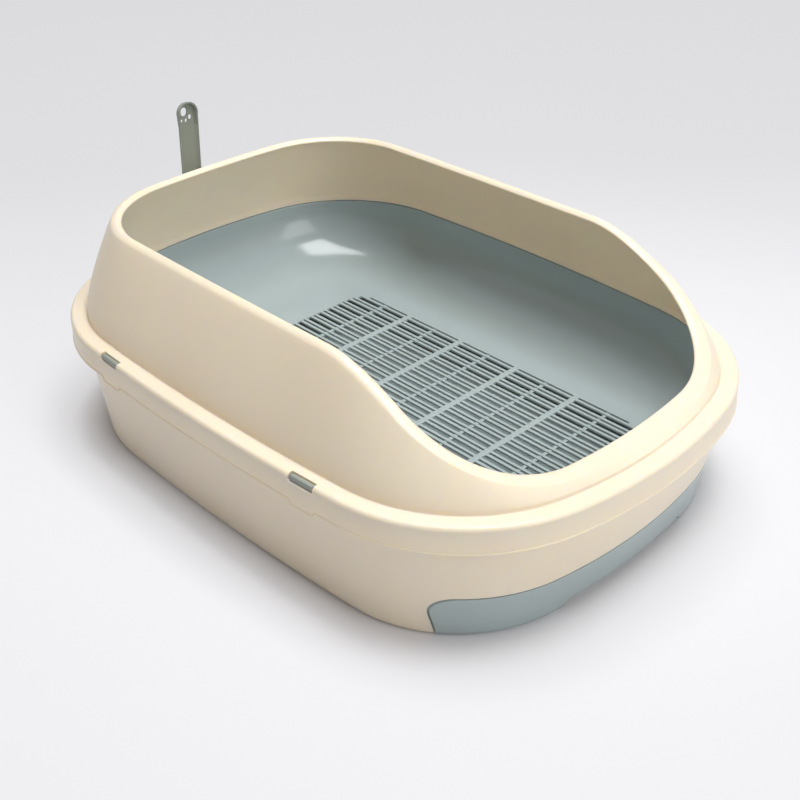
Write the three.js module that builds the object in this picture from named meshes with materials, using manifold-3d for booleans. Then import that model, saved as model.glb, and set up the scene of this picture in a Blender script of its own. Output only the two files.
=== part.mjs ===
// Two-tier sifting cat litter box with an open splash guard, drawer, latches and scoop.
// Units are millimetres, +Z is up, the floor is z = 0 and the front faces -Y.
// Every wall is a loft: a run of (inset, height) points carried round one master outline,
// where inset is measured inwards along that outline's own normals.
import * as THREE from 'three';
import { mergeVertices } from 'three/addons/utils/BufferGeometryUtils.js';
import Module from 'manifold-3d';

const wasm = await Module();
wasm.setup();

// ---------- Driving dimensions ----------

// master outline: the outer face of the guard's skirt, seen from above
const skirtOutline = {
  widestY: 45, halfWidth: 203.5, sideRadius: 2200,
  frontY: -281.5, frontRadius: 376, frontCorner: 140,
  backY: 281.5, backRadius: 526, backCorner: 138,
};
// tub's wall carried straight down to the floor: how far in it stands from the skirt's face
const floorIn = { side: 16.5, front: 24.5, back: 20.5 };
const floorOutline = {
  ...skirtOutline,
  halfWidth: skirtOutline.halfWidth - floorIn.side,
  frontY: skirtOutline.frontY + floorIn.front, frontRadius: 500, frontCorner: 116,
  backY: skirtOutline.backY - floorIn.back, backRadius: 560, backCorner: 129,
};
// opening of the splash guard
const openingIn = { side: 60, front: 35.5, back: 52.5 };
const openingOutline = {
  widestY: skirtOutline.widestY,
  halfWidth: skirtOutline.halfWidth - openingIn.side, sideRadius: 9000,
  frontY: skirtOutline.frontY + openingIn.front, frontRadius: 620, frontCorner: 86,
  backY: skirtOutline.backY - openingIn.back, backRadius: 1000, backCorner: 82,
};
// flat floor of the sieve pan
const panFloorIn = { side: 81.5, front: 69.5, back: 99.5 };
const panFloorOutline = {
  widestY: -12,
  halfWidth: skirtOutline.halfWidth - panFloorIn.side, sideRadius: 4000,
  frontY: skirtOutline.frontY + panFloorIn.front, frontRadius: 900, frontCorner: 60,
  backY: skirtOutline.backY - panFloorIn.back, backRadius: 900, backCorner: 62,
};
const sideSteps = 3;          // facets on each quarter's side, corner and end arcs
const cornerSteps = 9;
const endSteps = 4;

// tub
const tubWall = 2.6;
const tubFootRadius = 7;      // round between wall and floor
const tubTopInset = 10.5;     // outer wall under its rim
const tubTaperPower = 1.2;    // wall curves in towards the floor
const rimTop = 105.5;
const rimThickness = 3;
const rimInset = 3.4;

// sieve pan
const seat = 0.3;             // gap between pieces that rest on each other
const panWall = 2.4;
const panFlangeThickness = 2.5;
const panFlangeInset = 4.2;
const panLipInset = 18;       // dish wall at its top
const sieveZ = 46;            // upper face of the slotted floor

// slotted floor
const slotPitch = 12.5;       // one narrow and one wide slot
const narrowSlot = 2.3;
const wideSlot = 4.6;
const slotPairs = 8;          // to each side of the middle
const sieveMargin = { front: 22, back: 32 };   // from the flat floor's ends
const sieveCells = 5;
const crossbar = 5.6;
const subBar = 3.2;           // low bar across the middle of each cell
const subBarDrop = 1.2;
const subBarDepth = 0.8;      // below the floor's underside
const sieveCorner = 19;

// splash guard
const skirtBottomZ = 90;
const skirtThickness = 2.5;
const skirtDraft = 0.9;
const beadRadius = 3.4;
const guardWall = 2.5;
const wallFootInset = 15.4;
const openingLowZ = 114;      // height of the opening's edge at the front
const openingHighZ = 186;     // and round the back
const sweepFrontY = -278;     // the S-curve between them
const sweepBackY = -90;
const lipFront = 12;          // width of the lip at the front
const lipBack = 9;            // and round the back
const lipRise = 1.8;          // crest above the edge

// drawer
const drawerSideMargin = 26.8;  // from the tub's side to the doorway
const drawerTopZ = 39.4;
const drawerCorner = 12;
const drawerFootCorner = 5;
const drawerTaper = 5;        // the doorway is narrower at the floor by this much on each side
const drawerTaperZ = 24;      // and upright above this height
const drawerGap = 1;
const drawerLift = 0.8;       // off the floor
const drawerFrontThickness = 3;
const traySideGap = 5.2;        // between the tray and the narrowest part of the doorway
const trayBackGap = 25;       // from the tub's back
const trayTopZ = 32;
const trayWall = 2.4;
const trayCorner = 45;
const runnerTop = 5.5;
const runnerInset = 50;       // from the tray's side
const guideTop = 14;
const guideGap = 0.5;
const guideThickness = 2.5;
const guideFrontY = -150;
const stopHalfWidth = 30;
const stopTop = 12;
const fingerTopHalf = 67;
const fingerSlant = 7;
const fingerHeight = 10;
const fingerDepth = 28.5;

// clips
const clipY = [-117, 117];
const clipSlotHalfLength = 12.2;
const clipSlotInset = 6.3;    // the slot is open to the skirt's face and ends this far in
const clipSlotUnder = 5.6;    // its lower edge, below the bead's top
const clipEndGap = 1.2;
const clipPivotInset = 4.4;
const clipPinRadius = 1.1;
const clipPinHole = 1.45;
const cheekThickness = 2;
const cheekHalfWidth = 2.45;
const clipHookReach = 1.4;
const clipHookDrop = 0.6;     // below the rim, so that it can swing in
const clipHookGap = 0.3;
const clipPanGap = 0.4;
const skirtTab = [10, 4];     // half-length and drop of the tab under each clip

// scoop
const scoopGap = 2.3;         // from the skirt's face to the front edges of the handle
const scoopLean = 2.9;        // degrees
const scoopShift = 3.4;       // off the middle of its slot
const bladeBack = 8;          // from the handle's front edges to the blade's back
const scoopWall = 2;
const handleWall = 1.4;
const handleTop = 120.8;      // above the top of the bead
const handleWidth = 22;
const handleDepth = 3.5;
const handleFlare = 2.5;      // each side wall leans out by this much
const headFlare = 1;
const headDeeper = 1.5;       // the rim stands prouder round the head
const headRun = 12;
const neckZ = -14;
const neckFlare = 9;
const bladeWidth = 102;
const bladeShoulderZ = -30;
const bladeBottomZ = -103;
const bladeDepth = 9.4;
const bladeSlots = 9;
const bladeSlotWidth = 4.6;
const hookWidth = 20;
const hookThickness = 2.4;
const hookInset = [8.6, 11];  // tongue that drops through the bead
const hookSlotHalfLength = 14;
const hookSlotInset = [7.6, 12.4];
const hookDrop = 5.6;
const pawPad = { x: -2.6, below: 9.8, half: [3.6, 4.3] };
const pawToes = [[-42, 2, 2.4], [-76, 1.5, 2], [-108, 1.4, 1.6]];   // angle and half sizes
const pawReach = 8.6;

// ---------- Worked out from them ----------

const rimUnder = rimTop - rimThickness;
const panFlangeUnder = rimTop + seat;
const panFlangeTop = panFlangeUnder + panFlangeThickness;
const beadUnder = panFlangeTop + seat;
const beadTop = beadUnder + 3;
const clipPivotZ = beadUnder - 0.4;
const cheekUnder = rimTop + seat;
const sieveFrontY = panFloorOutline.frontY + sieveMargin.front;
const sieveLength = panFloorOutline.backY - sieveMargin.back - sieveFrontY;
const trayFloorZ = runnerTop + seat;
const scoopY = skirtOutline.backY + scoopGap;
const drawerHalfWidth = floorOutline.halfWidth - drawerSideMargin;
const trayHalfWidth = drawerHalfWidth - drawerTaper - traySideGap;
const trayBackY = floorOutline.backY - trayBackGap;
const runnerX = trayHalfWidth - runnerInset;
const fingerBottomHalf = fingerTopHalf + fingerSlant;
const clipHalfLength = clipSlotHalfLength - clipEndGap;
const clipNotchInset = clipPivotInset + clipHookReach + clipHookGap;
const wallHeights = [0, 0.8, 2.8, tubFootRadius, 16, drawerTopZ, 58, 80, rimUnder];

// ---------- Outlines ----------

// Where a corner arc sits: the point as deep under the side arc as under the end arc.
function cornerCentre(side, sideR, end, endR, r) {
  const dx = end.x - side.x;
  const dy = end.y - side.y;
  const gap = Math.hypot(dx, dy);
  const a = sideR - r;
  const b = endR - r;
  const along = (a * a - b * b + gap * gap) / (2 * gap);
  const across = Math.sqrt(a * a - along * along);
  const ux = dx / gap;
  const uy = dy / gap;
  const p = new THREE.Vector2(side.x + ux * along - uy * across, side.y + uy * along + ux * across);
  const q = new THREE.Vector2(side.x + ux * along + uy * across, side.y + uy * along - ux * across);
  return p.x + p.y > q.x + q.y ? p : q;
}

// One quarter of an outline in its own frame: x to the side, y away from the widest line.
function quarter(o, back) {
  const reach = back ? o.backY - o.widestY : o.widestY - o.frontY;
  const endR = back ? o.backRadius : o.frontRadius;
  const r = back ? o.backCorner : o.frontCorner;
  const side = new THREE.Vector2(o.halfWidth - o.sideRadius, 0);
  const end = new THREE.Vector2(0, reach - endR);
  const centre = cornerCentre(side, o.sideRadius, end, endR, r);
  const fromSide = Math.atan2(centre.y - side.y, centre.x - side.x);
  const fromEnd = Math.atan2(centre.y - end.y, centre.x - end.x);
  return { side, sideR: o.sideRadius, end, endR, centre, r, fromSide, fromEnd };
}

// How deep a point lies inside an outline; negative outside.
function depthInside(o, x, y) {
  const back = y >= o.widestY;
  const q = back ? o.quarters[0] : o.quarters[1];
  const px = Math.abs(x);
  const py = Math.abs(y - o.widestY);
  const vx = px - q.centre.x;
  const vy = py - q.centre.y;
  const angle = Math.atan2(vy, vx);
  if (angle > q.fromSide && angle < q.fromEnd) return q.r - Math.hypot(vx, vy);
  const underSide = q.sideR - Math.hypot(px - q.side.x, py - q.side.y);
  const underEnd = q.endR - Math.hypot(px - q.end.x, py - q.end.y);
  return Math.min(underSide, underEnd);
}

function arcStations(centre, r, from, to, steps, list) {
  for (let i = 0; i < steps; i++) {
    const a = from + ((to - from) * i) / steps;
    const nx = Math.cos(a);
    const ny = Math.sin(a);
    list.push({ x: centre.x + r * nx, y: centre.y + r * ny, nx, ny });
  }
}

// Points round an outline with their outward normals, anticlockwise from the +X side.
function outlineStations(o) {
  const quarters = [];
  for (const q of o.quarters) {
    const list = [];
    arcStations(q.side, q.sideR, 0, q.fromSide, sideSteps, list);
    arcStations(q.centre, q.r, q.fromSide, q.fromEnd, cornerSteps, list);
    arcStations(q.end, q.endR, q.fromEnd, Math.PI / 2, endSteps, list);
    arcStations(q.end, q.endR, Math.PI / 2, Math.PI, 1, list);
    quarters.push(list);
  }
  const turn = (s, sx, sy) => ({ x: sx * s.x, y: o.widestY + sy * s.y, nx: sx * s.nx, ny: sy * s.ny });
  const [back, front] = quarters;
  return [
    ...back.slice(0, -1).map((s) => turn(s, 1, 1)),
    ...back.slice(1).reverse().map((s) => turn(s, -1, 1)),
    ...front.slice(0, -1).map((s) => turn(s, -1, -1)),
    ...front.slice(1).reverse().map((s) => turn(s, 1, -1)),
  ];
}

for (const o of [skirtOutline, floorOutline, openingOutline, panFloorOutline]) {
  o.quarters = [quarter(o, true), quarter(o, false)];
}
const stations = outlineStations(skirtOutline);

// Inset at which a station's normal meets another outline.
function insetTo(s, o) {
  let low = 0;
  let high = 150;
  for (let i = 0; i < 40; i++) {
    const mid = (low + high) / 2;
    if (depthInside(o, s.x - s.nx * mid, s.y - s.ny * mid) < 0) low = mid;
    else high = mid;
  }
  return high;
}
for (const s of stations) {
  s.floorInset = insetTo(s, floorOutline);
  s.openingInset = insetTo(s, openingOutline);
  s.panFloorInset = insetTo(s, panFloorOutline);
}

// ---------- Meshes and solids ----------

function signedVolume(position, index) {
  const a = new THREE.Vector3();
  const b = new THREE.Vector3();
  const c = new THREE.Vector3();
  let sum = 0;
  for (let i = 0; i < index.length; i += 3) {
    a.fromArray(position, index[i] * 3);
    b.fromArray(position, index[i + 1] * 3);
    c.fromArray(position, index[i + 2] * 3);
    sum += a.dot(b.cross(c));
  }
  return sum / 6;
}

// rows: (station) => [inset, z]. A ring closes its last row on its first; a cup is capped
// by a fan at each end.
function loft(rows, ring) {
  const n = stations.length;
  const position = [];
  for (const row of rows) {
    for (const s of stations) {
      const [inset, z] = row(s);
      position.push(s.x - s.nx * inset, s.y - s.ny * inset, z);
    }
  }
  const index = [];
  const last = ring ? rows.length : rows.length - 1;
  for (let j = 0; j < last; j++) {
    const k = (j + 1) % rows.length;
    for (let i = 0; i < n; i++) {
      const a = j * n + i;
      const b = j * n + ((i + 1) % n);
      const c = k * n + ((i + 1) % n);
      const d = k * n + i;
      index.push(a, b, c, a, c, d);
    }
  }
  if (!ring) {
    for (const [row, flip] of [[0, true], [rows.length - 1, false]]) {
      const hub = position.length / 3;
      position.push(0, 0, position[row * n * 3 + 2]);
      for (let i = 0; i < n; i++) {
        const a = row * n + i;
        const b = row * n + ((i + 1) % n);
        if (flip) index.push(hub, b, a);
        else index.push(hub, a, b);
      }
    }
  }
  if (signedVolume(position, index) < 0) index.reverse();
  const g = new THREE.BufferGeometry();
  g.setAttribute('position', new THREE.Float32BufferAttribute(position, 3));
  g.setIndex(index);
  return toSolid(g);
}

function toSolid(geometry) {
  const g = geometry.clone();
  g.deleteAttribute('normal');
  g.deleteAttribute('uv');
  const m = mergeVertices(g, 1e-5);
  return new wasm.Manifold(new wasm.Mesh({
    numProp: 3,
    vertProperties: new Float32Array(m.attributes.position.array),
    triVerts: new Uint32Array(m.index.array),
  }));
}

function toGeometry(solid) {
  const m = solid.getMesh();
  const g = new THREE.BufferGeometry();
  g.setAttribute('position', new THREE.BufferAttribute(new Float32Array(m.vertProperties), 3));
  g.setIndex(new THREE.BufferAttribute(new Uint32Array(m.triVerts), 1));
  g.computeVertexNormals();
  return g;
}

const join = (list) => list.reduce((a, b) => a.add(b));

function box(x0, x1, y0, y1, z0, z1, matrix) {
  const g = new THREE.BoxGeometry(x1 - x0, y1 - y0, z1 - z0);
  g.translate((x0 + x1) / 2, (y0 + y1) / 2, (z0 + z1) / 2);
  if (matrix) g.applyMatrix4(matrix);
  return toSolid(g);
}

// A flat shape drawn in X and Z, given a thickness along Y.
function plateXZ(shape, y0, y1, segments = 6) {
  const options = { depth: y1 - y0, bevelEnabled: false, curveSegments: segments };
  const g = new THREE.ExtrudeGeometry(shape, options);
  g.rotateX(Math.PI / 2);
  g.translate(0, y1, 0);
  return toSolid(g);
}

// A flat shape drawn in X and Y, given a height along Z.
function plateXY(shape, z0, z1, segments = 6) {
  const options = { depth: z1 - z0, bevelEnabled: false, curveSegments: segments };
  const g = new THREE.ExtrudeGeometry(shape, options);
  g.translate(0, 0, z0);
  return toSolid(g);
}

// ---------- Tub ----------

// Outer face of the tub's wall, with the round at its foot.
function skinInset(s, z) {
  const h = Math.min(Math.max(z, 0), rimUnder);
  const taper = Math.pow(1 - h / rimUnder, tubTaperPower);
  const wall = tubTopInset + (s.floorInset - tubTopInset) * taper;
  if (h >= tubFootRadius) return wall;
  return wall + tubFootRadius - Math.sqrt(tubFootRadius ** 2 - (tubFootRadius - h) ** 2);
}

// Solid block inside the tub's outer face, drawn in by some amount, between two heights.
function skinBlock(inset, z0, z1) {
  const heights = [z0, ...wallHeights.filter((z) => z > z0 && z < z1), z1];
  return loft(heights.map((z) => (s) => [skinInset(s, z) + inset, z]), false);
}

// Doorway, or with a gap all round the drawer's front, seen from the front.
function frontShape(gap, bottom) {
  const half = drawerHalfWidth - gap;
  const foot = half - drawerTaper;
  const top = drawerTopZ - gap;
  const corner = drawerCorner - gap;
  const shape = new THREE.Shape();
  const round = drawerFootCorner;
  shape.moveTo(-half, drawerTaperZ);
  shape.lineTo(-foot - (drawerTaper * round) / drawerTaperZ, round);
  shape.quadraticCurveTo(-foot, 0, -foot + round, 0);
  shape.lineTo(-foot + round, bottom);
  shape.lineTo(foot - round, bottom);
  shape.lineTo(foot - round, 0);
  shape.quadraticCurveTo(foot, 0, foot + (drawerTaper * round) / drawerTaperZ, round);
  shape.lineTo(half, drawerTaperZ);
  shape.lineTo(half, top - corner);
  shape.absarc(half - corner, top - corner, corner, 0, Math.PI / 2, false);
  shape.absarc(-half + corner, top - corner, corner, Math.PI / 2, Math.PI, false);
  return shape;
}

function makeTub() {
  const innerZ = wallHeights.filter((z) => z >= tubFootRadius).reverse();
  const rows = [
    ...wallHeights.map((z) => (s) => [skinInset(s, z), z]),
    () => [rimInset, rimUnder],
    () => [rimInset, rimTop],
    () => [tubTopInset + tubWall, rimTop],
    ...innerZ.map((z) => (s) => [skinInset(s, z) + tubWall, z]),
    (s) => [skinInset(s, tubFootRadius) + tubWall + tubFootRadius / 2, tubWall],
  ];
  let tub = loft(rows, false);
  const frontReach = skirtOutline.frontY - 20;
  const doorway = plateXZ(frontShape(0, -5), frontReach, 0)
    .intersect(skinBlock(-4, -2, drawerTopZ + 2))
    .subtract(skinBlock(drawerFrontThickness + drawerGap, -3, drawerTopZ + 3));
  tub = tub.subtract(doorway);
  const guideX = trayHalfWidth + guideGap;
  const stopY = trayBackY + guideGap;
  const ribs = [box(-stopHalfWidth, stopHalfWidth, stopY, stopY + tubWall, 1, stopTop)];
  for (const side of [-1, 1]) {
    const inner = Math.min(side * guideX, side * (guideX + guideThickness));
    const outer = Math.max(side * guideX, side * (guideX + guideThickness));
    ribs.push(box(inner, outer, guideFrontY, trayBackY - trayCorner, 1, guideTop));
    const x = side * runnerX;
    ribs.push(box(x - 1.5, x + 1.5, floorOutline.frontY + 30, trayBackY, 1, runnerTop));
  }
  tub = join([tub, ...ribs]);
  for (const place of clipPlaces) {
    const half = clipSlotHalfLength + 0.4;
    tub = tub.subtract(box(-clipNotchInset, 2, -half, half, rimUnder - 1, rimTop + 1, place.matrix));
  }
  return tub;
}

// ---------- Sieve pan ----------

function makePan() {
  const steps = 6;
  const top = panFlangeTop - 2;
  const dish = (s, i, extra) => {
    const a = (Math.PI / 2) * (i / steps);
    const across = s.panFloorInset - panLipInset + extra;
    return [s.panFloorInset - across * Math.cos(a), top - (top - sieveZ + extra) * Math.sin(a)];
  };
  const rows = [];
  for (let i = steps; i >= 0; i--) rows.push((s) => dish(s, i, 0));
  rows.push(() => [panLipInset - 1.4, panFlangeTop]);
  rows.push(() => [panFlangeInset, panFlangeTop]);
  rows.push(() => [panFlangeInset, panFlangeUnder]);
  rows.push(() => [panLipInset - panWall, panFlangeUnder]);
  for (let i = 1; i <= steps; i++) rows.push((s) => dish(s, i, panWall));
  let pan = loft(rows, false);
  pan = pan.subtract(join(slotCutters()));
  const reach = slotPairs * slotPitch + narrowSlot;
  const under = sieveZ - panWall;
  const bars = [];
  for (let c = 0; c < sieveCells; c++) {
    const y = sieveFrontY + (sieveLength * (c + 0.5)) / sieveCells;
    bars.push(box(-reach, reach, y - subBar / 2, y + subBar / 2, under - subBarDepth, sieveZ - subBarDrop));
  }
  pan = join([pan, ...bars]);
  for (const place of clipPlaces) {
    const half = clipSlotHalfLength + cheekThickness + 0.6;
    const deep = clipPivotInset + cheekHalfWidth + clipPanGap;
    pan = pan.subtract(box(-deep, 2, -half, half, panFlangeUnder - 1, panFlangeTop + 1, place.matrix));
  }
  return pan.subtract(hookSlot());
}

// Slots of the sieve: narrow and wide by turns, in cells between the crossbars. The outer
// ones stop short where the pattern's corners are round.
function slotCutters() {
  const cutters = [];
  const edge = slotPairs * slotPitch + narrowSlot / 2;
  for (let k = -2 * slotPairs; k <= 2 * slotPairs; k++) {
    const x = (k * slotPitch) / 2;
    const width = k % 2 === 0 ? narrowSlot : wideSlot;
    const fromCorner = Math.max(0, sieveCorner - (edge - Math.abs(x)));
    const trim = sieveCorner - Math.sqrt(sieveCorner ** 2 - fromCorner ** 2);
    for (let c = 0; c < sieveCells; c++) {
      const cell = sieveLength / sieveCells;
      const y0 = sieveFrontY + cell * c + (c === 0 ? trim : crossbar / 2);
      const y1 = sieveFrontY + cell * (c + 1) - (c === sieveCells - 1 ? trim : crossbar / 2);
      cutters.push(box(x - width / 2, x + width / 2, y0, y1, sieveZ - panWall - 2, sieveZ + 2));
    }
  }
  return cutters;
}

// ---------- Splash guard ----------

// Height of the opening's edge: low at the front, high at the back, an S-curve between.
function openingZ(y) {
  const t = Math.min(Math.max((y - sweepFrontY) / (sweepBackY - sweepFrontY), 0), 1);
  return openingLowZ + (openingHighZ - openingLowZ) * t * t * (3 - 2 * t);
}

// Section of the guard's wall and lip at one station, from its foot to the opening's edge.
function wallSection(s) {
  const edge = { d: s.openingInset, z: openingZ(s.y - s.ny * s.openingInset) };
  const high = (edge.z - openingLowZ) / (openingHighZ - openingLowZ);
  const lip = lipFront + (lipBack - lipFront) * high;
  const foot = { d: wallFootInset, z: beadTop + 1.2 };
  const end = { d: edge.d - lip, z: edge.z - 2 + 1.5 * high };
  const rise = end.z - foot.z;
  const lean = end.d - foot.d;
  const curve = new THREE.CubicBezierCurve(
    new THREE.Vector2(foot.d, foot.z),
    new THREE.Vector2(foot.d, foot.z + 0.165 * rise),
    new THREE.Vector2(foot.d + 0.72 * lean, foot.z + 0.8 * rise),
    new THREE.Vector2(end.d, end.z),
  );
  const points = curve.getPoints(wallSteps);
  points.push(new THREE.Vector2(edge.d - lip * 0.7, edge.z + lipRise * high * 0.75 - 0.9 * (1 - high)));
  points.push(new THREE.Vector2(edge.d - lip * 0.35, edge.z + lipRise * high + 0.1));
  points.push(new THREE.Vector2(edge.d, edge.z));
  return points;
}
const wallSteps = 6;
const lipSteps = 3;

// The same section moved in by the wall's thickness.
function innerSection(points) {
  return points.map((p, i) => {
    const before = points[Math.max(i - 1, 0)];
    const after = points[Math.min(i + 1, points.length - 1)];
    const along = i === 0 ? new THREE.Vector2(0, 1) : after.clone().sub(before).normalize();
    return new THREE.Vector2(p.x + along.y * guardWall, p.y - along.x * guardWall);
  });
}

function makeGuard() {
  for (const s of stations) {
    s.outer = wallSection(s);
    s.inner = innerSection(s.outer);
  }
  const rows = [() => [0, skirtBottomZ]];
  for (const a of [0, 35, 65, 90]) {
    const rad = THREE.MathUtils.degToRad(a);
    const d = skirtDraft + beadRadius * (1 - Math.cos(rad));
    const z = beadTop - beadRadius * (1 - Math.sin(rad));
    rows.push(() => [d, z]);
  }
  rows.push(() => [wallFootInset - 1.2, beadTop]);
  for (let i = 0; i <= wallSteps + lipSteps; i++) rows.push((s) => [s.outer[i].x, s.outer[i].y]);
  for (let i = wallSteps + lipSteps; i >= 0; i--) rows.push((s) => [s.inner[i].x, s.inner[i].y]);
  rows.push(() => [wallFootInset + guardWall, beadUnder]);
  rows.push(() => [skirtThickness + 1.1, beadUnder]);
  rows.push(() => [skirtThickness + 0.3, beadUnder - 1]);
  rows.push(() => [skirtThickness, skirtBottomZ]);
  let guard = loft(rows, true);
  for (const place of clipPlaces) {
    const half = clipSlotHalfLength;
    const cut = box(-clipSlotInset, 2, -half, half, beadTop - clipSlotUnder, beadTop + 2, place.matrix);
    guard = guard.subtract(cut);
    for (const end of [-1, 1]) {
      const y0 = Math.min(end * half, end * (half + cheekThickness));
      const middle = -clipPivotInset;
      const cheek = box(middle - cheekHalfWidth, middle + cheekHalfWidth, y0, y0 + cheekThickness,
        cheekUnder, beadUnder + 0.5, place.matrix);
      guard = guard.add(cheek);
    }
    guard = guard.subtract(pinAlong(place, clipPinHole, half + cheekThickness + 0.5));
    const tab = box(-skirtThickness + 0.1, -0.1, -skirtTab[0], skirtTab[0],
      skirtBottomZ - skirtTab[1], skirtBottomZ + 1, place.matrix);
    guard = guard.add(tab);
  }
  return guard.subtract(hookSlot());
}

// Slot through the bead and the pan's flange for the scoop's hook.
function hookSlot() {
  const back = skirtOutline.backY;
  return box(-hookSlotHalfLength, hookSlotHalfLength, back - hookSlotInset[1], back - hookSlotInset[0],
    panFlangeUnder - 1, beadTop + 2);
}

// ---------- Drawer ----------

function makeDrawer() {
  const frontReach = skirtOutline.frontY - 20;
  const face = plateXZ(frontShape(drawerGap, -5), frontReach, 0)
    .intersect(skinBlock(0, drawerLift, drawerTopZ - drawerGap / 2))
    .subtract(skinBlock(drawerFrontThickness, -2, drawerTopZ + 2));
  const tray = trayBlock(0, trayFloorZ, trayTopZ).intersect(skinBlock(1.5, trayFloorZ - 1, trayTopZ + 1));
  const fingerBack = floorOutline.frontY + fingerDepth;
  const humpHalf = fingerBottomHalf + trayWall;
  const hump = box(-humpHalf, humpHalf, frontReach, fingerBack + trayWall, 0, fingerHeight + trayWall);
  const hollow = trayBlock(trayWall, trayFloorZ + trayWall, trayTopZ + 2)
    .intersect(skinBlock(drawerFrontThickness, trayFloorZ, trayTopZ + 3))
    .subtract(hump);
  const finger = new THREE.Shape();
  finger.moveTo(-fingerBottomHalf, -3);
  finger.lineTo(fingerBottomHalf, -3);
  finger.lineTo(fingerBottomHalf, 0);
  finger.lineTo(fingerTopHalf, fingerHeight);
  finger.lineTo(-fingerTopHalf, fingerHeight);
  finger.lineTo(-fingerBottomHalf, 0);
  return face.add(tray).subtract(hollow).subtract(plateXZ(finger, frontReach, fingerBack));
}

// Block with the tray's plan: square at the front, round at the back corners.
function trayBlock(inset, z0, z1) {
  const half = trayHalfWidth - inset;
  const back = trayBackY - inset;
  const r = trayCorner - inset;
  const shape = new THREE.Shape();
  shape.moveTo(-half, skirtOutline.frontY);
  shape.lineTo(half, skirtOutline.frontY);
  shape.lineTo(half, back - r);
  shape.absarc(half - r, back - r, r, 0, Math.PI / 2, false);
  shape.absarc(-half + r, back - r, r, Math.PI / 2, Math.PI, false);
  return plateXY(shape, z0, z1, 5);
}

// ---------- Clips ----------

// Frames on the skirt's side arcs: local -X points in from the skirt's face, Y runs along it.
function clipFrame(side, y) {
  const o = skirtOutline;
  const centreX = o.halfWidth - o.sideRadius;
  const a = Math.asin((y - o.widestY) / o.sideRadius);
  const x = centreX + o.sideRadius * Math.cos(a);
  const turn = side > 0 ? a : Math.PI - a;
  return new THREE.Matrix4().makeRotationZ(turn).setPosition(side * x, y, 0);
}
const clipPlaces = [];
for (const [side, sideName] of [[-1, 'left'], [1, 'right']]) {
  for (const [i, endName] of [[0, 'front'], [1, 'back']]) {
    clipPlaces.push({ name: `clip_${sideName}_${endName}`, matrix: clipFrame(side, clipY[i]) });
  }
}

function pinAlong(place, radius, half) {
  const g = new THREE.CylinderGeometry(radius, radius, 2 * half, 10);
  g.translate(-clipPivotInset, 0, clipPivotZ);
  g.applyMatrix4(place.matrix);
  return toSolid(g);
}

// Rocking latch: a pad that fills the slot, a stem on its pins and a hook that swings in
// under the tub's rim. It is drawn released, with the hook hanging clear.
function makeClip(place) {
  const p = clipPivotInset;
  const hookTop = rimUnder - clipHookDrop;
  const shape = new THREE.Shape();
  shape.moveTo(-p + 1.3, hookTop - 2.8);
  shape.lineTo(-p - 0.2, hookTop - 2.8);
  shape.lineTo(-p - clipHookReach, hookTop - 1);
  shape.lineTo(-p - clipHookReach, hookTop);
  shape.lineTo(-p - 0.2, hookTop);
  shape.lineTo(-p - 0.2, panFlangeTop - 0.6);
  shape.lineTo(-p - 1.6, panFlangeTop + 0.6);
  shape.lineTo(-p - 1.6, beadTop - 1.5);
  shape.lineTo(-p - 1.2, beadTop - 1);
  shape.lineTo(-p + 1.6, beadTop - 1);
  shape.lineTo(-p + 2.2, beadTop - 1.6);
  shape.lineTo(-p + 2.4, beadTop - 5);
  shape.lineTo(-p + 1.3, beadTop - 5);
  const g = new THREE.ExtrudeGeometry(shape, { depth: 2 * clipHalfLength, bevelEnabled: false });
  g.rotateX(Math.PI / 2);
  g.translate(0, clipHalfLength, 0);
  g.applyMatrix4(place.matrix);
  return toSolid(g).add(pinAlong(place, clipPinRadius, clipSlotHalfLength + cheekThickness - 0.4));
}

// ---------- Scoop ----------

// Outline of the handle in X and Z, drawn in by one amount round the head and another below.
function handleRing(head, stem, bottom) {
  const r = handleWidth / 2;
  const headZ = handleTop - r;
  const side = [
    new THREE.Vector2(r - stem + neckFlare, bottom),
    new THREE.Vector2(r - stem, neckZ),
    new THREE.Vector2(r - stem, headZ - headRun),
  ];
  const ring = [...side];
  for (let i = 0; i <= 14; i++) {
    const a = (Math.PI * i) / 14;
    ring.push(new THREE.Vector2((r - head) * Math.cos(a), headZ + (r - head) * Math.sin(a)));
  }
  for (const p of side.reverse()) ring.push(new THREE.Vector2(-p.x, p.y));
  return ring;
}

// Solid between two rings with as many points. The front one stands further out at the head.
function ringSolid(front, stemY, headY, back, backY) {
  const n = front.length;
  const headZ = handleTop - handleWidth / 2 - 0.01;
  const position = [];
  for (const p of front) position.push(p.x, p.y > headZ ? headY : stemY, p.y);
  for (const p of back) position.push(p.x, backY, p.y);
  const index = [];
  for (const [a, b, c] of THREE.ShapeUtils.triangulateShape(front, [])) {
    const turn = front[b].clone().sub(front[a]).cross(front[c].clone().sub(front[a]));
    if (turn > 0) index.push(a, b, c, n + c, n + b, n + a);
    else index.push(a, c, b, n + b, n + c, n + a);
  }
  for (let i = 0; i < n; i++) {
    const j = (i + 1) % n;
    index.push(j, i, n + i, j, n + i, n + j);
  }
  const g = new THREE.BufferGeometry();
  g.setAttribute('position', new THREE.Float32BufferAttribute(position, 3));
  g.setIndex(index);
  return toSolid(g);
}

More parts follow.
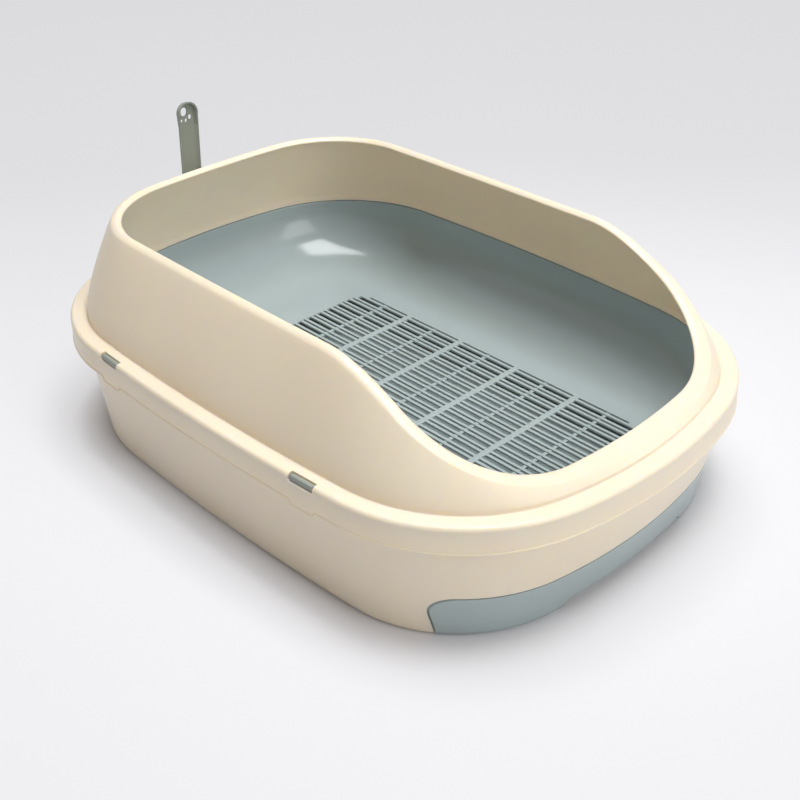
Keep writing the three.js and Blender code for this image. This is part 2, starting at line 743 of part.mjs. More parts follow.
// Shallow channel with flared walls and a paw cut through its head.
function makeHandle() {
  const bottom = bladeShoulderZ - 1;
  const outer = ringSolid(handleRing(0, 0, bottom), 0, -headDeeper,
    handleRing(headFlare, handleFlare, bottom), handleDepth);
  const past = 2;
  const t = handleWall;
  const stemSlope = handleFlare / handleDepth;
  const headSlope = headFlare / (handleDepth + headDeeper);
  const floorY = handleDepth - t;
  const hollowFront = handleRing(t - headSlope * (past - headDeeper), t - stemSlope * past,
    bladeShoulderZ);
  const hollowBack = handleRing(t + headSlope * (floorY + headDeeper), t + stemSlope * floorY,
    bladeShoulderZ);
  const hollow = ringSolid(hollowFront, -past, -past, hollowBack, floorY);
  let handle = outer.subtract(hollow);
  const padZ = handleTop - pawPad.below;
  const holes = [[pawPad.x, padZ, ...pawPad.half]];
  for (const [angle, halfX, halfZ] of pawToes) {
    const a = THREE.MathUtils.degToRad(angle);
    holes.push([pawPad.x + pawReach * Math.cos(a), padZ + pawReach * Math.sin(a), halfX, halfZ]);
  }
  for (const [x, z, halfX, halfZ] of holes) {
    const hole = new THREE.Shape();
    hole.absellipse(x, z, halfX, halfZ, 0, 2 * Math.PI, false);
    handle = handle.subtract(plateXZ(hole, -past, handleDepth + 1, 7));
  }
  return handle;
}

// Open blade with a slotted back, that runs out to a thin front edge.
function makeBlade() {
  const outline = (inset) => {
    const half = bladeWidth / 2 - inset;
    const top = bladeShoulderZ - inset;
    const s = new THREE.Shape();
    s.moveTo(half - 4, bladeBottomZ);
    s.lineTo(half, bladeShoulderZ - 16);
    s.quadraticCurveTo(half, top, half - 14, top);
    s.lineTo(-half + 14, top);
    s.quadraticCurveTo(-half, top, -half, bladeShoulderZ - 16);
    s.lineTo(-half + 4, bladeBottomZ);
    return s;
  };
  const front = bladeBack - bladeDepth;
  const body = plateXZ(outline(0), front, bladeBack, 8);
  const hollow = plateXZ(outline(scoopWall), front - 1, bladeBack - scoopWall, 8);
  const slope = new THREE.Shape();
  slope.moveTo(front - 1, bladeBottomZ - 1);
  slope.lineTo(bladeBack - 2.4, bladeBottomZ - 1);
  slope.lineTo(front - 1, bladeBottomZ + 34);
  const wedge = new THREE.ExtrudeGeometry(slope, { depth: 2 * bladeWidth, bevelEnabled: false });
  wedge.applyMatrix4(new THREE.Matrix4().makeBasis(
    new THREE.Vector3(0, 1, 0), new THREE.Vector3(0, 0, 1), new THREE.Vector3(1, 0, 0)));
  wedge.translate(-bladeWidth, 0, 0);
  let blade = body.subtract(hollow).subtract(toSolid(wedge));
  for (let i = 0; i < bladeSlots; i++) {
    const x = ((i - (bladeSlots - 1) / 2) * (bladeWidth - 22)) / (bladeSlots - 1);
    blade = blade.subtract(box(x - bladeSlotWidth / 2, x + bladeSlotWidth / 2,
      bladeBack - scoopWall - 1, bladeBack + 1, bladeBottomZ + 12, bladeShoulderZ - 8));
  }
  return blade;
}

// Drawn with x across, z above the bead's top and y from the handle's front edges.
function makeScoop() {
  // hook: a bridge over the bead and a tongue down through its slot
  const reach = scoopY - (skirtOutline.backY - hookInset[1]);
  const under = seat + (hookWidth / 2) * Math.sin(THREE.MathUtils.degToRad(scoopLean)) + 0.1;
  const half = hookWidth / 2;
  const bridge = box(-half, half, -reach, handleDepth - 0.5, under, under + hookThickness);
  const tongue = box(-half, half, -reach, -reach + hookInset[1] - hookInset[0], -hookDrop,
    under + hookThickness);
  return join([makeHandle(), makeBlade(), bridge, tongue]);
}

// ---------- Assembly ----------

const cream = { color: 0xf1e6cf, roughness: 0.42, metalness: 0 };
const blueGrey = { color: 0xa9b7b8, roughness: 0.3, metalness: 0 };
const grey = { color: 0x8e9690, roughness: 0.4, metalness: 0 };

const litterBox = new THREE.Group();

function addPart(name, solid, look) {
  const mesh = new THREE.Mesh(toGeometry(solid), new THREE.MeshStandardMaterial(look));
  mesh.name = name;
  litterBox.add(mesh);
  return mesh;
}

addPart('base_tub', makeTub(), cream);
addPart('sieve_pan', makePan(), blueGrey);
addPart('splash_guard', makeGuard(), cream);
addPart('waste_drawer', makeDrawer(), blueGrey);
for (const place of clipPlaces) addPart(place.name, makeClip(place), grey);
const scoop = addPart('litter_scoop', makeScoop(), grey);
scoop.position.set(scoopShift, scoopY, beadTop);
scoop.rotation.y = THREE.MathUtils.degToRad(scoopLean);

export default litterBox;
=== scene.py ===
"""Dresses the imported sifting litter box: smooth moulded pieces, plastics, floor, lamps and camera."""

import math

import bpy
import bmesh
import numpy as np
from mathutils import Matrix


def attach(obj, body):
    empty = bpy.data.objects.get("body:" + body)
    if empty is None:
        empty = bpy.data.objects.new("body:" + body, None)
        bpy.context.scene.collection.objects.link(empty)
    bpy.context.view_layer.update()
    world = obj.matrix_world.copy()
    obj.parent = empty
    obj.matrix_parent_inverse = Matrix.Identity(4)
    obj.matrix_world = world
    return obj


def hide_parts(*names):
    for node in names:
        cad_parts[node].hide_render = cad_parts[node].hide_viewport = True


bl_info = {
    "name": "Sifting Litter Box",
    "version": (1, 0, 0),
    "blender": (4, 5, 0),
    "location": "View3D > Sidebar > Litter Box",
    "description": "Builds the moulded pieces, plastics and studio of a sifting cat litter box",
    "category": "Add Mesh",
}

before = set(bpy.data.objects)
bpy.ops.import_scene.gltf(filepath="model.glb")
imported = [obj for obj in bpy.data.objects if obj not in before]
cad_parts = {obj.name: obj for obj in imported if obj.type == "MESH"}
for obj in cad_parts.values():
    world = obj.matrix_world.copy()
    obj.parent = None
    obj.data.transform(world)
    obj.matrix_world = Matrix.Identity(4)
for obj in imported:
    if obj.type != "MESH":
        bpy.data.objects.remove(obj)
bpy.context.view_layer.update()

MM = 0.001
TAU = 2 * math.pi
WELD, WELD_FINE = 2e-6, 1e-6
SHARP_FROM, SIEVE_SHARP_FROM, SCOOP_SHARP_FROM = 35.0, 30.0, 8.0


# ---------------------------------------------------------------- colours and values

def linear(hex_colour):
    """sRGB hex to the linear RGB that shaders take."""
    out = []
    for i in (1, 3, 5):
        c = int(hex_colour[i:i + 2], 16) / 255
        out.append(c / 12.92 if c <= 0.04045 else ((c + 0.055) / 1.055) ** 2.4)
    return tuple(out)


def smoothstep(t):
    t = np.clip(t, 0.0, 1.0)
    return t * t * (3 - 2 * t)


# Outlines seen from above, in millimetres: eight arcs each, tangent where they meet.
SKIRT = dict(widest=45, half=203.5, side=2200,
             front=-281.5, front_r=376, front_c=140, back=281.5, back_r=526, back_c=138)
FLOOR_IN = dict(side=16.5, front=24.5, back=20.5)
FLOOR = dict(SKIRT, half=SKIRT["half"] - FLOOR_IN["side"],
             front=SKIRT["front"] + FLOOR_IN["front"], front_r=500, front_c=116,
             back=SKIRT["back"] - FLOOR_IN["back"], back_r=560, back_c=129)
OPENING_IN = dict(side=60, front=35.5, back=52.5)
OPENING = dict(widest=SKIRT["widest"], half=SKIRT["half"] - OPENING_IN["side"], side=9000,
               front=SKIRT["front"] + OPENING_IN["front"], front_r=620, front_c=86,
               back=SKIRT["back"] - OPENING_IN["back"], back_r=1000, back_c=82)
PAN_FLOOR_IN = dict(side=81.5, front=69.5, back=99.5)
PAN_FLOOR = dict(widest=-12, half=SKIRT["half"] - PAN_FLOOR_IN["side"], side=4000,
                 front=SKIRT["front"] + PAN_FLOOR_IN["front"], front_r=900, front_c=60,
                 back=SKIRT["back"] - PAN_FLOOR_IN["back"], back_r=900, back_c=62)

RIM_TOP = 105.5
RIM_UNDER = 102.5
RIM_INSET = 3.4
TUB_TOP = 10.5
TUB_WALL = 2.6
TUB_FOOT = 7.0
TUB_TAPER = 1.2
PAN_UNDER = 105.8
PAN_TOP = 108.3
PAN_INSET = 4.2
PAN_LIP = 18.0
PAN_WALL = 2.4
SIEVE_Z = 46.0
BEAD_UNDER = 108.6
BEAD_TOP = 111.6
SKIRT_BOTTOM = 90.0
SKIRT_WALL = 2.5
SKIRT_DRAFT = 0.9
SKIRT_FACE = 0.5
BEAD_ROUND = 3.4
GUARD_WALL = 2.5
WALL_FOOT, WALL_FOOT_Z = 15.4, BEAD_TOP + 1.2
# shape of the wall's cubic: how far it stands upright, and its bulge, as shares of lean and rise
WALL_STEEP, WALL_BULGE = 0.165, (0.72, 0.8)
OPEN_LOW, OPEN_HIGH = 114.0, 186.0
SWEEP_FRONT, SWEEP_BACK = -278.0, -90.0
LIP_FRONT, LIP_BACK, LIP_RISE = 12.0, 9.0, 1.8
DOOR_HALF, DOOR_TOP, DOOR_ROUND, DOOR_FOOT_ROUND = 160.2, 39.4, 12.0, 5.0
DOOR_TAPER, DOOR_TAPER_Z = 5.0, 24.0
# columns beside the doorway: their spacing, the height of each, and where the fan of columns ends
JAMB_STEP, FAN_END = 0.25, 185.0
JAMB_FALL = (0.86, 0.72, 0.58, 0.44, 0.31, 0.21, 0.13, 0.07, 0.03, 0.01)
DRAWER_GAP, DRAWER_LIFT, DRAWER_WALL, DRAWER_ROUND = 1.0, 0.8, 3.0, 12.5
DRAWER_ARRIS, DRAWER_LEAN_FROM = 0.5, 125.0
TRAY_HALF, TRAY_BACK, TRAY_ROUND, TRAY_TOP, TRAY_WALL = 150.0, 236.0, 45.0, 32.0, 2.4
TRAY_RING, TRAY_BEHIND = 2.4, 1.5
RUNNER_TOP, TRAY_FLOOR = 5.5, 5.8
# ribs on the tub's floor: their foot, gap to the tray, rear stop, side guides and runners
RIB_FOOT, RIB_GAP, STOP_HALF, STOP_TOP = 2, 0.5, 30, 12
GUIDE_FRONT, GUIDE_TOP, RUNNER_IN = -150, 14, 50
FINGER_TOP, FINGER_FOOT, FINGER_Z, FINGER_BACK = 67.0, 74.0, 10.0, -228.5
CLIP_Y = (-117.0, 117.0)
CLIP_SLOT_HALF = 12.2
CLIP_SLOT_IN = 6.3
CLIP_SLOT_Z = 106.0
CLIP_SLOT_ROUND = 2.0
CLIP_SLOT_CHAMFER = 0.8
CLIP_SLOT_EDGES = (-2.0, -1.3, -0.7, -0.25, 0.0, 0.4)
CLIP_PIVOT, CLIP_PIVOT_Z = 4.4, 108.2
CLIP_HALF = 11.0
CHEEK_HALF, CHEEK_THICK = 2.45, 2.0
PIN_R, PIN_HOLE_R, PIN_SIDES = 1.1, 1.45, 16
SCOOP_SLOT_HALF = 14.0
SCOOP_SLOT = (7.6, 12.4)
SCOOP_SLOT_ANGLE = math.asin(SCOOP_SLOT_HALF / (SKIRT["back_r"] - 10))
SCOOP_SLOT_ENDS = (math.pi / 2 - SCOOP_SLOT_ANGLE, math.pi / 2 + SCOOP_SLOT_ANGLE)
RIM_NOTCH_HALF = CLIP_SLOT_HALF + 0.4
PAN_NOTCH_HALF = CLIP_SLOT_HALF + CHEEK_THICK + 0.6
TAB_RAMP = 2.4
# the small lip along the skirt's lower edge: (inset, height above the edge)
SKIRT_LIP = ((0.9, 0.0), (0.1, 0.0), (-0.1, 0.2), (-0.1, 0.7), (0.1, 1.15), (SKIRT_FACE, 1.6),
             (SKIRT_FACE, 2.0))
SIEVE_FRONT, SIEVE_BACK, SIEVE_CELLS = -190.0, 150.0, 5
SLOT_PITCH, SLOT_NARROW, SLOT_WIDE, SLOT_PAIRS = 12.5, 2.3, 4.6, 8
CROSSBAR, SUB_BAR, SIEVE_CORNER, SIEVE_ARRIS = 5.6, 3.2, 19.0, 0.35
SIEVE_PLATE = (-103.5, 103.5, -193.0, 153.0)


# ---------------------------------------------------------------- outlines

def quarter_arcs(o, back):
    """Side, corner and end arcs of a quarter, with the corner's centre where two circles cross."""
    reach = o["back"] - o["widest"] if back else o["widest"] - o["front"]
    end_r, r = (o["back_r"], o["back_c"]) if back else (o["front_r"], o["front_c"])
    side = np.array([o["half"] - o["side"], 0.0])
    end = np.array([0.0, reach - end_r])
    gap = np.hypot(*(end - side))
    a, b = o["side"] - r, end_r - r
    along = (a * a - b * b + gap * gap) / (2 * gap)
    across = math.sqrt(a * a - along * along)
    u = (end - side) / gap
    corner = max((side + u * along + sign * across * np.array([-u[1], u[0]]) for sign in (1, -1)), key=np.sum)
    phi1, phi2 = (math.atan2(corner[1] - c[1], corner[0] - c[0]) for c in (side, end))
    return side, o["side"], corner, r, end, end_r, phi1, phi2


def outline_point(o, phi):
    """Point and outward normal where the outline's normal has the angle phi."""
    phi = np.asarray(phi, float)
    nx, ny = np.cos(phi), np.sin(phi)
    back = ny >= 0
    a = np.arctan2(np.abs(ny), np.abs(nx))
    x, y = np.zeros_like(phi), np.zeros_like(phi)
    for is_back in (True, False):
        side, side_r, corner, r, end, end_r, phi1, phi2 = quarter_arcs(o, is_back)
        cx, cy, rr = (np.where(a < phi1, first, np.where(a < phi2, second, third)) for first, second, third
                      in zip((*side, side_r), (*corner, r), (*end, end_r)))
        x = np.where(back == is_back, cx + rr * np.cos(a), x)
        y = np.where(back == is_back, cy + rr * np.sin(a), y)
    return np.sign(nx) * x, o["widest"] + np.where(back, 1, -1) * y, nx, ny


def depth_inside(o, x, y):
    """How deep points lie inside an outline: radius less distance to the arc that rules there."""
    out = np.zeros_like(x)
    px, py = np.abs(x), np.abs(y - o["widest"])
    for is_back in (True, False):
        side, side_r, corner, r, end, end_r, phi1, phi2 = quarter_arcs(o, is_back)
        in_side, in_corner, in_end = (radius - np.hypot(px - c[0], py - c[1])
                                      for c, radius in ((side, side_r), (corner, r), (end, end_r)))
        angle = np.arctan2(py - corner[1], px - corner[0])
        d = np.where((angle > phi1) & (angle < phi2), in_corner, np.minimum(in_side, in_end))
        out = np.where((y >= o["widest"]) == is_back, d, out)
    return out


def bisected(low, high, steps, below):
    """Halves each interval, again and again, towards the value where below(value) turns false."""
    for _ in range(steps):
        middle = (low + high) / 2
        under = below(middle)
        low, high = np.where(under, middle, low), np.where(under, high, middle)
    return low, high


def inset_to(o, phi):
    """Distance from the skirt's outline, along its inward normal, to another outline."""
    x, y, nx, ny = outline_point(SKIRT, phi)
    return bisected(np.zeros_like(x), np.full_like(x, 150.0), 40,
                    lambda d: depth_inside(o, x - nx * d, y - ny * d) < 0)[1]


def station_angles(side, corner, end, extra=()):
    """Angles round the skirt, evenly spread on each of its arcs, with some added exactly."""
    out = []
    for is_back in (True, False):
        phi1, phi2 = quarter_arcs(SKIRT, is_back)[6:]
        q = np.concatenate([np.linspace(0, phi1, side, endpoint=False),
                            np.linspace(phi1, phi2, corner, endpoint=False),
                            np.linspace(phi2, math.pi / 2, end)])
        out += [q, math.pi - q] if is_back else [math.pi + q, TAU - q]
    even, extra = np.concatenate(out) % TAU, np.atleast_1d(extra) % TAU
    if len(extra):
        even = even[np.min(np.abs(even[:, None] - extra), axis=1) > 1e-4]
    return np.unique(np.round(np.concatenate([even, extra]), 9))


def between_stations(phi):
    """Angles halfway from each station to the next."""
    ahead = np.roll(phi, -1)
    return np.where(ahead > phi, (phi + ahead) / 2, (phi + TAU) / 2)


TABLE_PHI = np.linspace(0, TAU, 4001)
TABLE_FLOOR = inset_to(FLOOR, TABLE_PHI)


def skin_inset(phi, z):
    """Inset of the tub's outer face: a taper to the floor with a round at its foot."""
    h = np.clip(z, 0, RIM_UNDER)
    floor = np.interp(np.asarray(phi) % TAU, TABLE_PHI, TABLE_FLOOR)
    wall = TUB_TOP + (floor - TUB_TOP) * (1 - h / RIM_UNDER) ** TUB_TAPER
    foot = TUB_FOOT - np.sqrt(np.maximum(TUB_FOOT ** 2 - (TUB_FOOT - np.minimum(h, TUB_FOOT)) ** 2, 0))
    return wall + foot


def skin_point(phi, z, inset=0.0):
    """Point of the tub's face, drawn in by an inset along the outline's normal."""
    x, y, nx, ny = outline_point(SKIRT, phi)
    d = skin_inset(phi, z) + inset
    return x - nx * d, y - ny * d


def front_angle(x, z, inset=0.0):
    """Angle of the front station whose face point has the given x."""
    shape = np.broadcast(x, z, inset).shape
    low, high = bisected(np.full(shape, math.pi + 0.25), np.full(shape, TAU - 0.25), 44,
                         lambda phi: skin_point(phi, z, inset)[0] < x)
    return (low + high) / 2


def clip_angle(side, y):
    """Angle of the skirt's normal at a clip: on the side arc, where sin(angle) = dy / radius."""
    a = math.asin((y - SKIRT["widest"]) / SKIRT["side"])
    return a if side > 0 else math.pi - a


def clip_angles():
    return [(side, y, clip_angle(side, y)) for side in (-1, 1) for y in CLIP_Y]


def from_clip(phi):
    """Distance along the skirt from the middle of the nearest clip, in millimetres."""
    away = [np.abs((phi - a + math.pi) % TAU - math.pi) for _, _, a in clip_angles()]
    return np.min(away, axis=0) * SKIRT["side"]


def notch_angles(half):
    """Angles just inside and outside the ends of a notch round each clip."""
    return np.array([a + e * (half + d) / SKIRT["side"] for _, _, a in clip_angles()
                     for e in (-1, 1) for d in (0, 0.05)])


def in_notch(phi, half):
    return from_clip(phi) < half + 0.02


# ---------------------------------------------------------------- meshes

def linked(name, mesh, smooth):
    """An object of a smooth mesh, with its edges sharp above an angle in degrees."""
    mesh.shade_smooth()
    mesh.set_sharp_from_angle(angle=math.radians(smooth))
    obj = bpy.data.objects.new(name, mesh)
    bpy.context.scene.collection.objects.link(obj)
    return obj


def reworked(mesh, *steps):
    """Runs functions of a bmesh on a mesh."""
    bm = bmesh.new()
    bm.from_mesh(mesh)
    for step in steps:
        step(bm)
    bm.to_mesh(mesh)
    bm.free()


def make_object(name, verts, faces, smooth=SHARP_FROM):
    """A mesh object from arrays of millimetre points and of quads or triangles."""
    mesh = bpy.data.meshes.new(name)
    mesh.from_pydata((np.asarray(verts) * MM).tolist(), [], [list(map(int, f)) for f in faces])
    reworked(mesh, lambda bm: bmesh.ops.remove_doubles(bm, verts=bm.verts, dist=WELD),
             lambda bm: bmesh.ops.dissolve_degenerate(bm, edges=bm.edges, dist=WELD_FINE))
    mesh.validate()
    return linked(name, mesh, smooth)


def merged_copy(name, node_name, smooth):
    """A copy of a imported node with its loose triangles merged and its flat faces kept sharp."""
    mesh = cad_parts[node_name].data.copy()
    mesh.name = name
    reworked(mesh, lambda bm: bmesh.ops.remove_doubles(bm, verts=bm.verts, dist=WELD_FINE))
    return linked(name, mesh, smooth)


def recalculated(obj):
    """The object with its faces turned outwards."""
    reworked(obj.data, lambda bm: bmesh.ops.recalc_face_normals(bm, faces=bm.faces))
    return obj


def bevelled(obj, width_mm):
    """The object with its sharp edges rounded."""
    m = obj.modifiers.new("Arrises", "BEVEL")
    m.width = width_mm * MM
    m.segments = 2
    m.limit_method = "ANGLE"
    m.angle_limit = math.radians(SHARP_FROM)
    m.harden_normals = False
    return obj


def grid_faces(rows, cols, close_rows, close_cols, keep=None):
    """Quads of a grid of rows x cols points, as an array, closing either way."""
    r = np.arange(rows if close_rows else rows - 1)
    c = np.arange(cols if close_cols else cols - 1)
    rr, cc = np.meshgrid(r, c, indexing="ij")
    r2, c2 = (rr + 1) % rows, (cc + 1) % cols
    f = np.stack([rr * cols + cc, rr * cols + c2, r2 * cols + c2, r2 * cols + cc], axis=-1)
    if keep is not None:
        f = f[keep[:f.shape[0], :f.shape[1]]]
    return f.reshape(-1, 4)


def facing_out(verts, skin, *walls):
    """Points and all faces of a grid, turned round where the skin's signed volume is negative."""
    v = verts.reshape(-1, 3)
    volume = 0.0
    for k in (1, 2):
        a, b, c = v[skin[:, 0]], v[skin[:, k]], v[skin[:, k + 1]]
        volume += np.einsum("ij,ij->i", a, np.cross(b, c)).sum()
    faces = np.concatenate([skin, *walls])
    return v, faces if volume > 0 else faces[:, ::-1]


def fillet(points, cuts):
    """Rounds the corners of a section. Each corner with a cut length becomes a parabola whose
    ends lie that far along its two sides. Points are (corners, stations, 2); the first and last
    only give directions and are left out."""
    out = []
    for i in range(1, len(points) - 1):
        ends = []
        for q in (points[i - 1], points[i + 1]):
            away = q - points[i]
            length = np.maximum(np.linalg.norm(away, axis=-1, keepdims=True), 1e-9)
            ends.append(points[i] + away / length * np.minimum(cuts[i - 1], length * 0.49))
        for t in np.linspace(0, 1, 5):
            out.append((1 - t) ** 2 * ends[0] + 2 * t * (1 - t) * points[i] + t * t * ends[1])
    return out


def carry(phi, section):
    """Carries a section of (inset, height) round the skirt's outline: rows x stations points."""
    x, y, nx, ny = outline_point(SKIRT, phi)
    d, z = np.moveaxis(np.asarray(section), -1, 0)
    return np.stack([x - nx * d, y - ny * d, z], axis=-1)


def station_pair(n, d, z):
    """An (inset, height) point for every station; both may vary round the outline."""
    return np.stack([np.broadcast_to(np.asarray(d, float), (n,)),
                     np.broadcast_to(np.asarray(z, float), (n,))], axis=-1)


def pairs(n, *points):
    """The same for each of several (inset, height) points."""
    return [station_pair(n, d, z) for d, z in points]


def side_wall(n, top, low, cols):
    """Wall between two rows of a grid with n columns, over the marked columns."""
    c = np.nonzero(cols)[0]
    c2 = (c + 1) % n
    return np.stack([top * n + c, top * n + c2, low * n + c2, low * n + c], axis=-1)


def end_walls(n, tops, lows, cols):
    """The two short walls of each slot: top rows paired with bottom rows."""
    begin = np.nonzero(cols & ~np.roll(cols, 1))[0]
    end = (np.nonzero(cols & ~np.roll(cols, -1))[0] + 1) % n
    walls = []
    for group, turn in ((begin, 1), (end, -1)):
        for top, low, next_low, next_top in zip(tops, lows, lows[1:], tops[1:]):
            quad = np.stack([r * n + group for r in (top, low, next_low, next_top)], axis=-1)
            walls.append(quad[:, ::turn])
    return np.concatenate(walls)


def prism(ring, other):
    """Two rings of points with the sides between them and a face at each end."""
    k = len(ring)
    sides = [[i, (i + 1) % k, k + (i + 1) % k, k + i] for i in range(k)]
    return np.concatenate([ring, other]), sides + [list(range(k))[::-1], list(range(k, 2 * k))]


def box_points(x0, x1, y0, y1, z0, z1):
    """A box between two values on each axis."""
    v = np.array([[x, y, z] for z in (z0, z1) for y in (y0, y1) for x in (x0, x1)], float)
    f = np.array([[0, 2, 3, 1], [4, 5, 7, 6], [0, 1, 5, 4], [2, 6, 7, 3], [0, 4, 6, 2], [1, 3, 7, 5]])
    return v, f


def joined(parts):
    """Stacks (points, faces) pairs into one."""
    verts, faces, start = [], [], 0
    for v, f in parts:
        v = np.asarray(v).reshape(-1, 3)
        verts.append(v)
        faces += [[int(i) + start for i in row] for row in f]
        start += len(v)
    return np.concatenate(verts), faces


# ---------------------------------------------------------------- plastics

CLOUD_RANGE = (0.3, 0.7)
WAVE_DEPTH, GRAIN_DEPTH = 0.0006, 0.00005
POLYPROPYLENE_IOR = 1.49
# name, roughness, grain size in mm, grain strength, depth of the glow under the surface in mm
PLASTICS = {
    # cream polypropylene from a satin mould face: soft broad highlights, slightly translucent
    "cream": ("Satin cream polypropylene", 0.34, 0.7, 0.2, 6.0),
    # blue-grey polypropylene from a polished mould: clear reflections
    "blue": ("Glossy blue-grey polypropylene", 0.12, 0.9, 0.04, 0),
    # grey polypropylene of the small latches: satin, a little darker
    "clip": ("Satin grey polypropylene", 0.38, 0.6, 0.2, 0),
    # grey-green polypropylene of the scoop: satin
    "scoop": ("Satin scoop polypropylene", 0.36, 0.6, 0.2, 0),
}


def node(tree, kind, settings=None):
    """Adds a node. Each setting is a property, or an input by name or number that takes a value
    or another node's output."""
    n = tree.nodes.new(kind)
    for key, value in (settings or {}).items():
        if isinstance(value, bpy.types.NodeSocket):
            tree.links.new(value, n.inputs[key])
        elif isinstance(key, str) and hasattr(n, key):
            setattr(n, key, value)
        else:
            n.inputs[key].default_value = value
    return n


def new_tree(owner):
    """The empty node tree of a material or a world."""
    owner.use_nodes = True
    owner.node_tree.nodes.clear()
    return owner.node_tree


def maths(tree, operation, first, second):
    n = node(tree, "ShaderNodeMath", {"operation": operation, 0: first, 1: second})
    return n.outputs["Value"]


def vector_maths(tree, operation, first, second=(0, 0, 0)):
    n = node(tree, "ShaderNodeVectorMath", {"operation": operation, 0: first, 1: second})
    return n.outputs["Value" if operation in ("LENGTH", "DOT_PRODUCT") else "Vector"]


def map_range(tree, value, source, target, kind="LINEAR"):
    """Maps a value from one (low, high) pair to another."""
    n = node(tree, "ShaderNodeMapRange", {
        "interpolation_type": kind, "Value": value, "From Min": source[0], "From Max": source[1],
        "To Min": target[0], "To Max": target[1]})
    return n.outputs["Result"]


def mixed_shaders(tree, share, plain, other):
    n = node(tree, "ShaderNodeMixShader", {"Fac": share, 1: plain, 2: other})
    return n.outputs["Shader"]


def seen_ray(tree):
    """1 for rays that show a surface straight, mirrored or through glass; 0 for rays of light."""
    rays = node(tree, "ShaderNodeLightPath").outputs
    shown = maths(tree, "MAXIMUM", rays["Is Camera Ray"], rays["Is Glossy Ray"])
    return maths(tree, "MAXIMUM", shown, rays["Is Transmission Ray"])


def noise(tree, place, settings):
    return node(tree, "ShaderNodeTexNoise", {**settings, "Vector": place}).outputs["Fac"]


def bump(tree, height, strength, distance, more):
    settings = {"Strength": strength, "Distance": distance, "Height": height, **more}
    return node(tree, "ShaderNodeBump", settings).outputs["Normal"]


def moulded_plastic(name, colour, shade, roughness, grain_mm, grain_bump, depth_mm):
    """Injection-moulded polypropylene: an even colour with faint flow clouding, a fine mould
    grain that breaks up the gloss, and slow waves in the surface from shrinkage."""
    mat = bpy.data.materials.new(name)
    tree = new_tree(mat)
    place = node(tree, "ShaderNodeTexCoord").outputs["Object"]
    cloud = noise(tree, place, {"Scale": 9.0, "Detail": 3.0, "Roughness": 0.45})
    ramp = node(tree, "ShaderNodeValToRGB", {"Fac": cloud})
    for stop, at, tint in zip(ramp.color_ramp.elements, CLOUD_RANGE, (shade, colour)):
        stop.position, stop.color = at, (*linear(tint), 1)
    grain = noise(tree, place, {"Scale": 1.0 / (grain_mm * MM), "Detail": 2.0, "Roughness": 0.5})
    waves = noise(tree, place, {"Scale": 28.0, "Detail": 1.0})
    slow = bump(tree, waves, 0.25, WAVE_DEPTH, {})
    settings = {"IOR": POLYPROPYLENE_IOR, "Metallic": 0.0, "Base Color": ramp.outputs["Color"],
                "Roughness": map_range(tree, cloud, CLOUD_RANGE, (roughness - 0.04, roughness + 0.05)),
                "Normal": bump(tree, grain, grain_bump, GRAIN_DEPTH, {"Normal": slow})}
    if depth_mm:
        settings.update({"Subsurface Weight": 0.5, "Subsurface Scale": depth_mm * MM,
                         "Subsurface Radius": (1.0, 0.75, 0.22)})
    shader = node(tree, "ShaderNodeBsdfPrincipled", settings)
    node(tree, "ShaderNodeOutputMaterial", {"Surface": shader.outputs["BSDF"]})
    return mat


def plastic(kind):
    """The material of a plastic in PLASTICS, made once, in the panel's colours."""
    name, *finish = PLASTICS[kind]
    colours = bpy.context.scene.litter_box_colours
    return bpy.data.materials.get(name) or moulded_plastic(
        name, getattr(colours, kind), getattr(colours, kind + "_shade"), *finish)


def dress(obj, material, body, replaced):
    """Gives a piece its plastic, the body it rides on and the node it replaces."""
    obj.data.materials.clear()
    obj.data.materials.append(material)
    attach(obj, body)
    if replaced:
        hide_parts(replaced)


# ---------------------------------------------------------------- tub

def door_height(x, half, top, radius):
    """Height of a door with round upper corners above a point x of its width; 0 outside it."""
    a = np.abs(x)
    arc = top - radius + np.sqrt(np.maximum(radius ** 2 - np.maximum(a - (half - radius), 0) ** 2, 0))
    return np.where(a <= half, np.where(a <= half - radius, top, arc), 0.0)


def door_taper(z):
    """How much narrower the doorway is, on each side, at a height: a slant below DOOR_TAPER_Z and
    a round lower corner, the parabola x = r (1 - sqrt(z / r))^2."""
    r = DOOR_FOOT_ROUND
    return (DOOR_TAPER * np.clip(1 - z / DOOR_TAPER_Z, 0, 1)
            + r * (1 - np.sqrt(np.clip(z / r, 0, 1))) ** 2)


def front_columns():
    """x of the upright lines across the doorway: close together at its round corners and twice
    at its sides, where the wall's lower edge steps from the arch to the floor."""
    theta = np.linspace(0, math.pi / 2, 14)
    arc = DOOR_HALF - DOOR_ROUND + DOOR_ROUND * np.sin(theta)
    half = np.concatenate([np.linspace(0, DOOR_HALF - DOOR_ROUND, 40, endpoint=False), arc])
    return np.concatenate([-half[:0:-1], half])


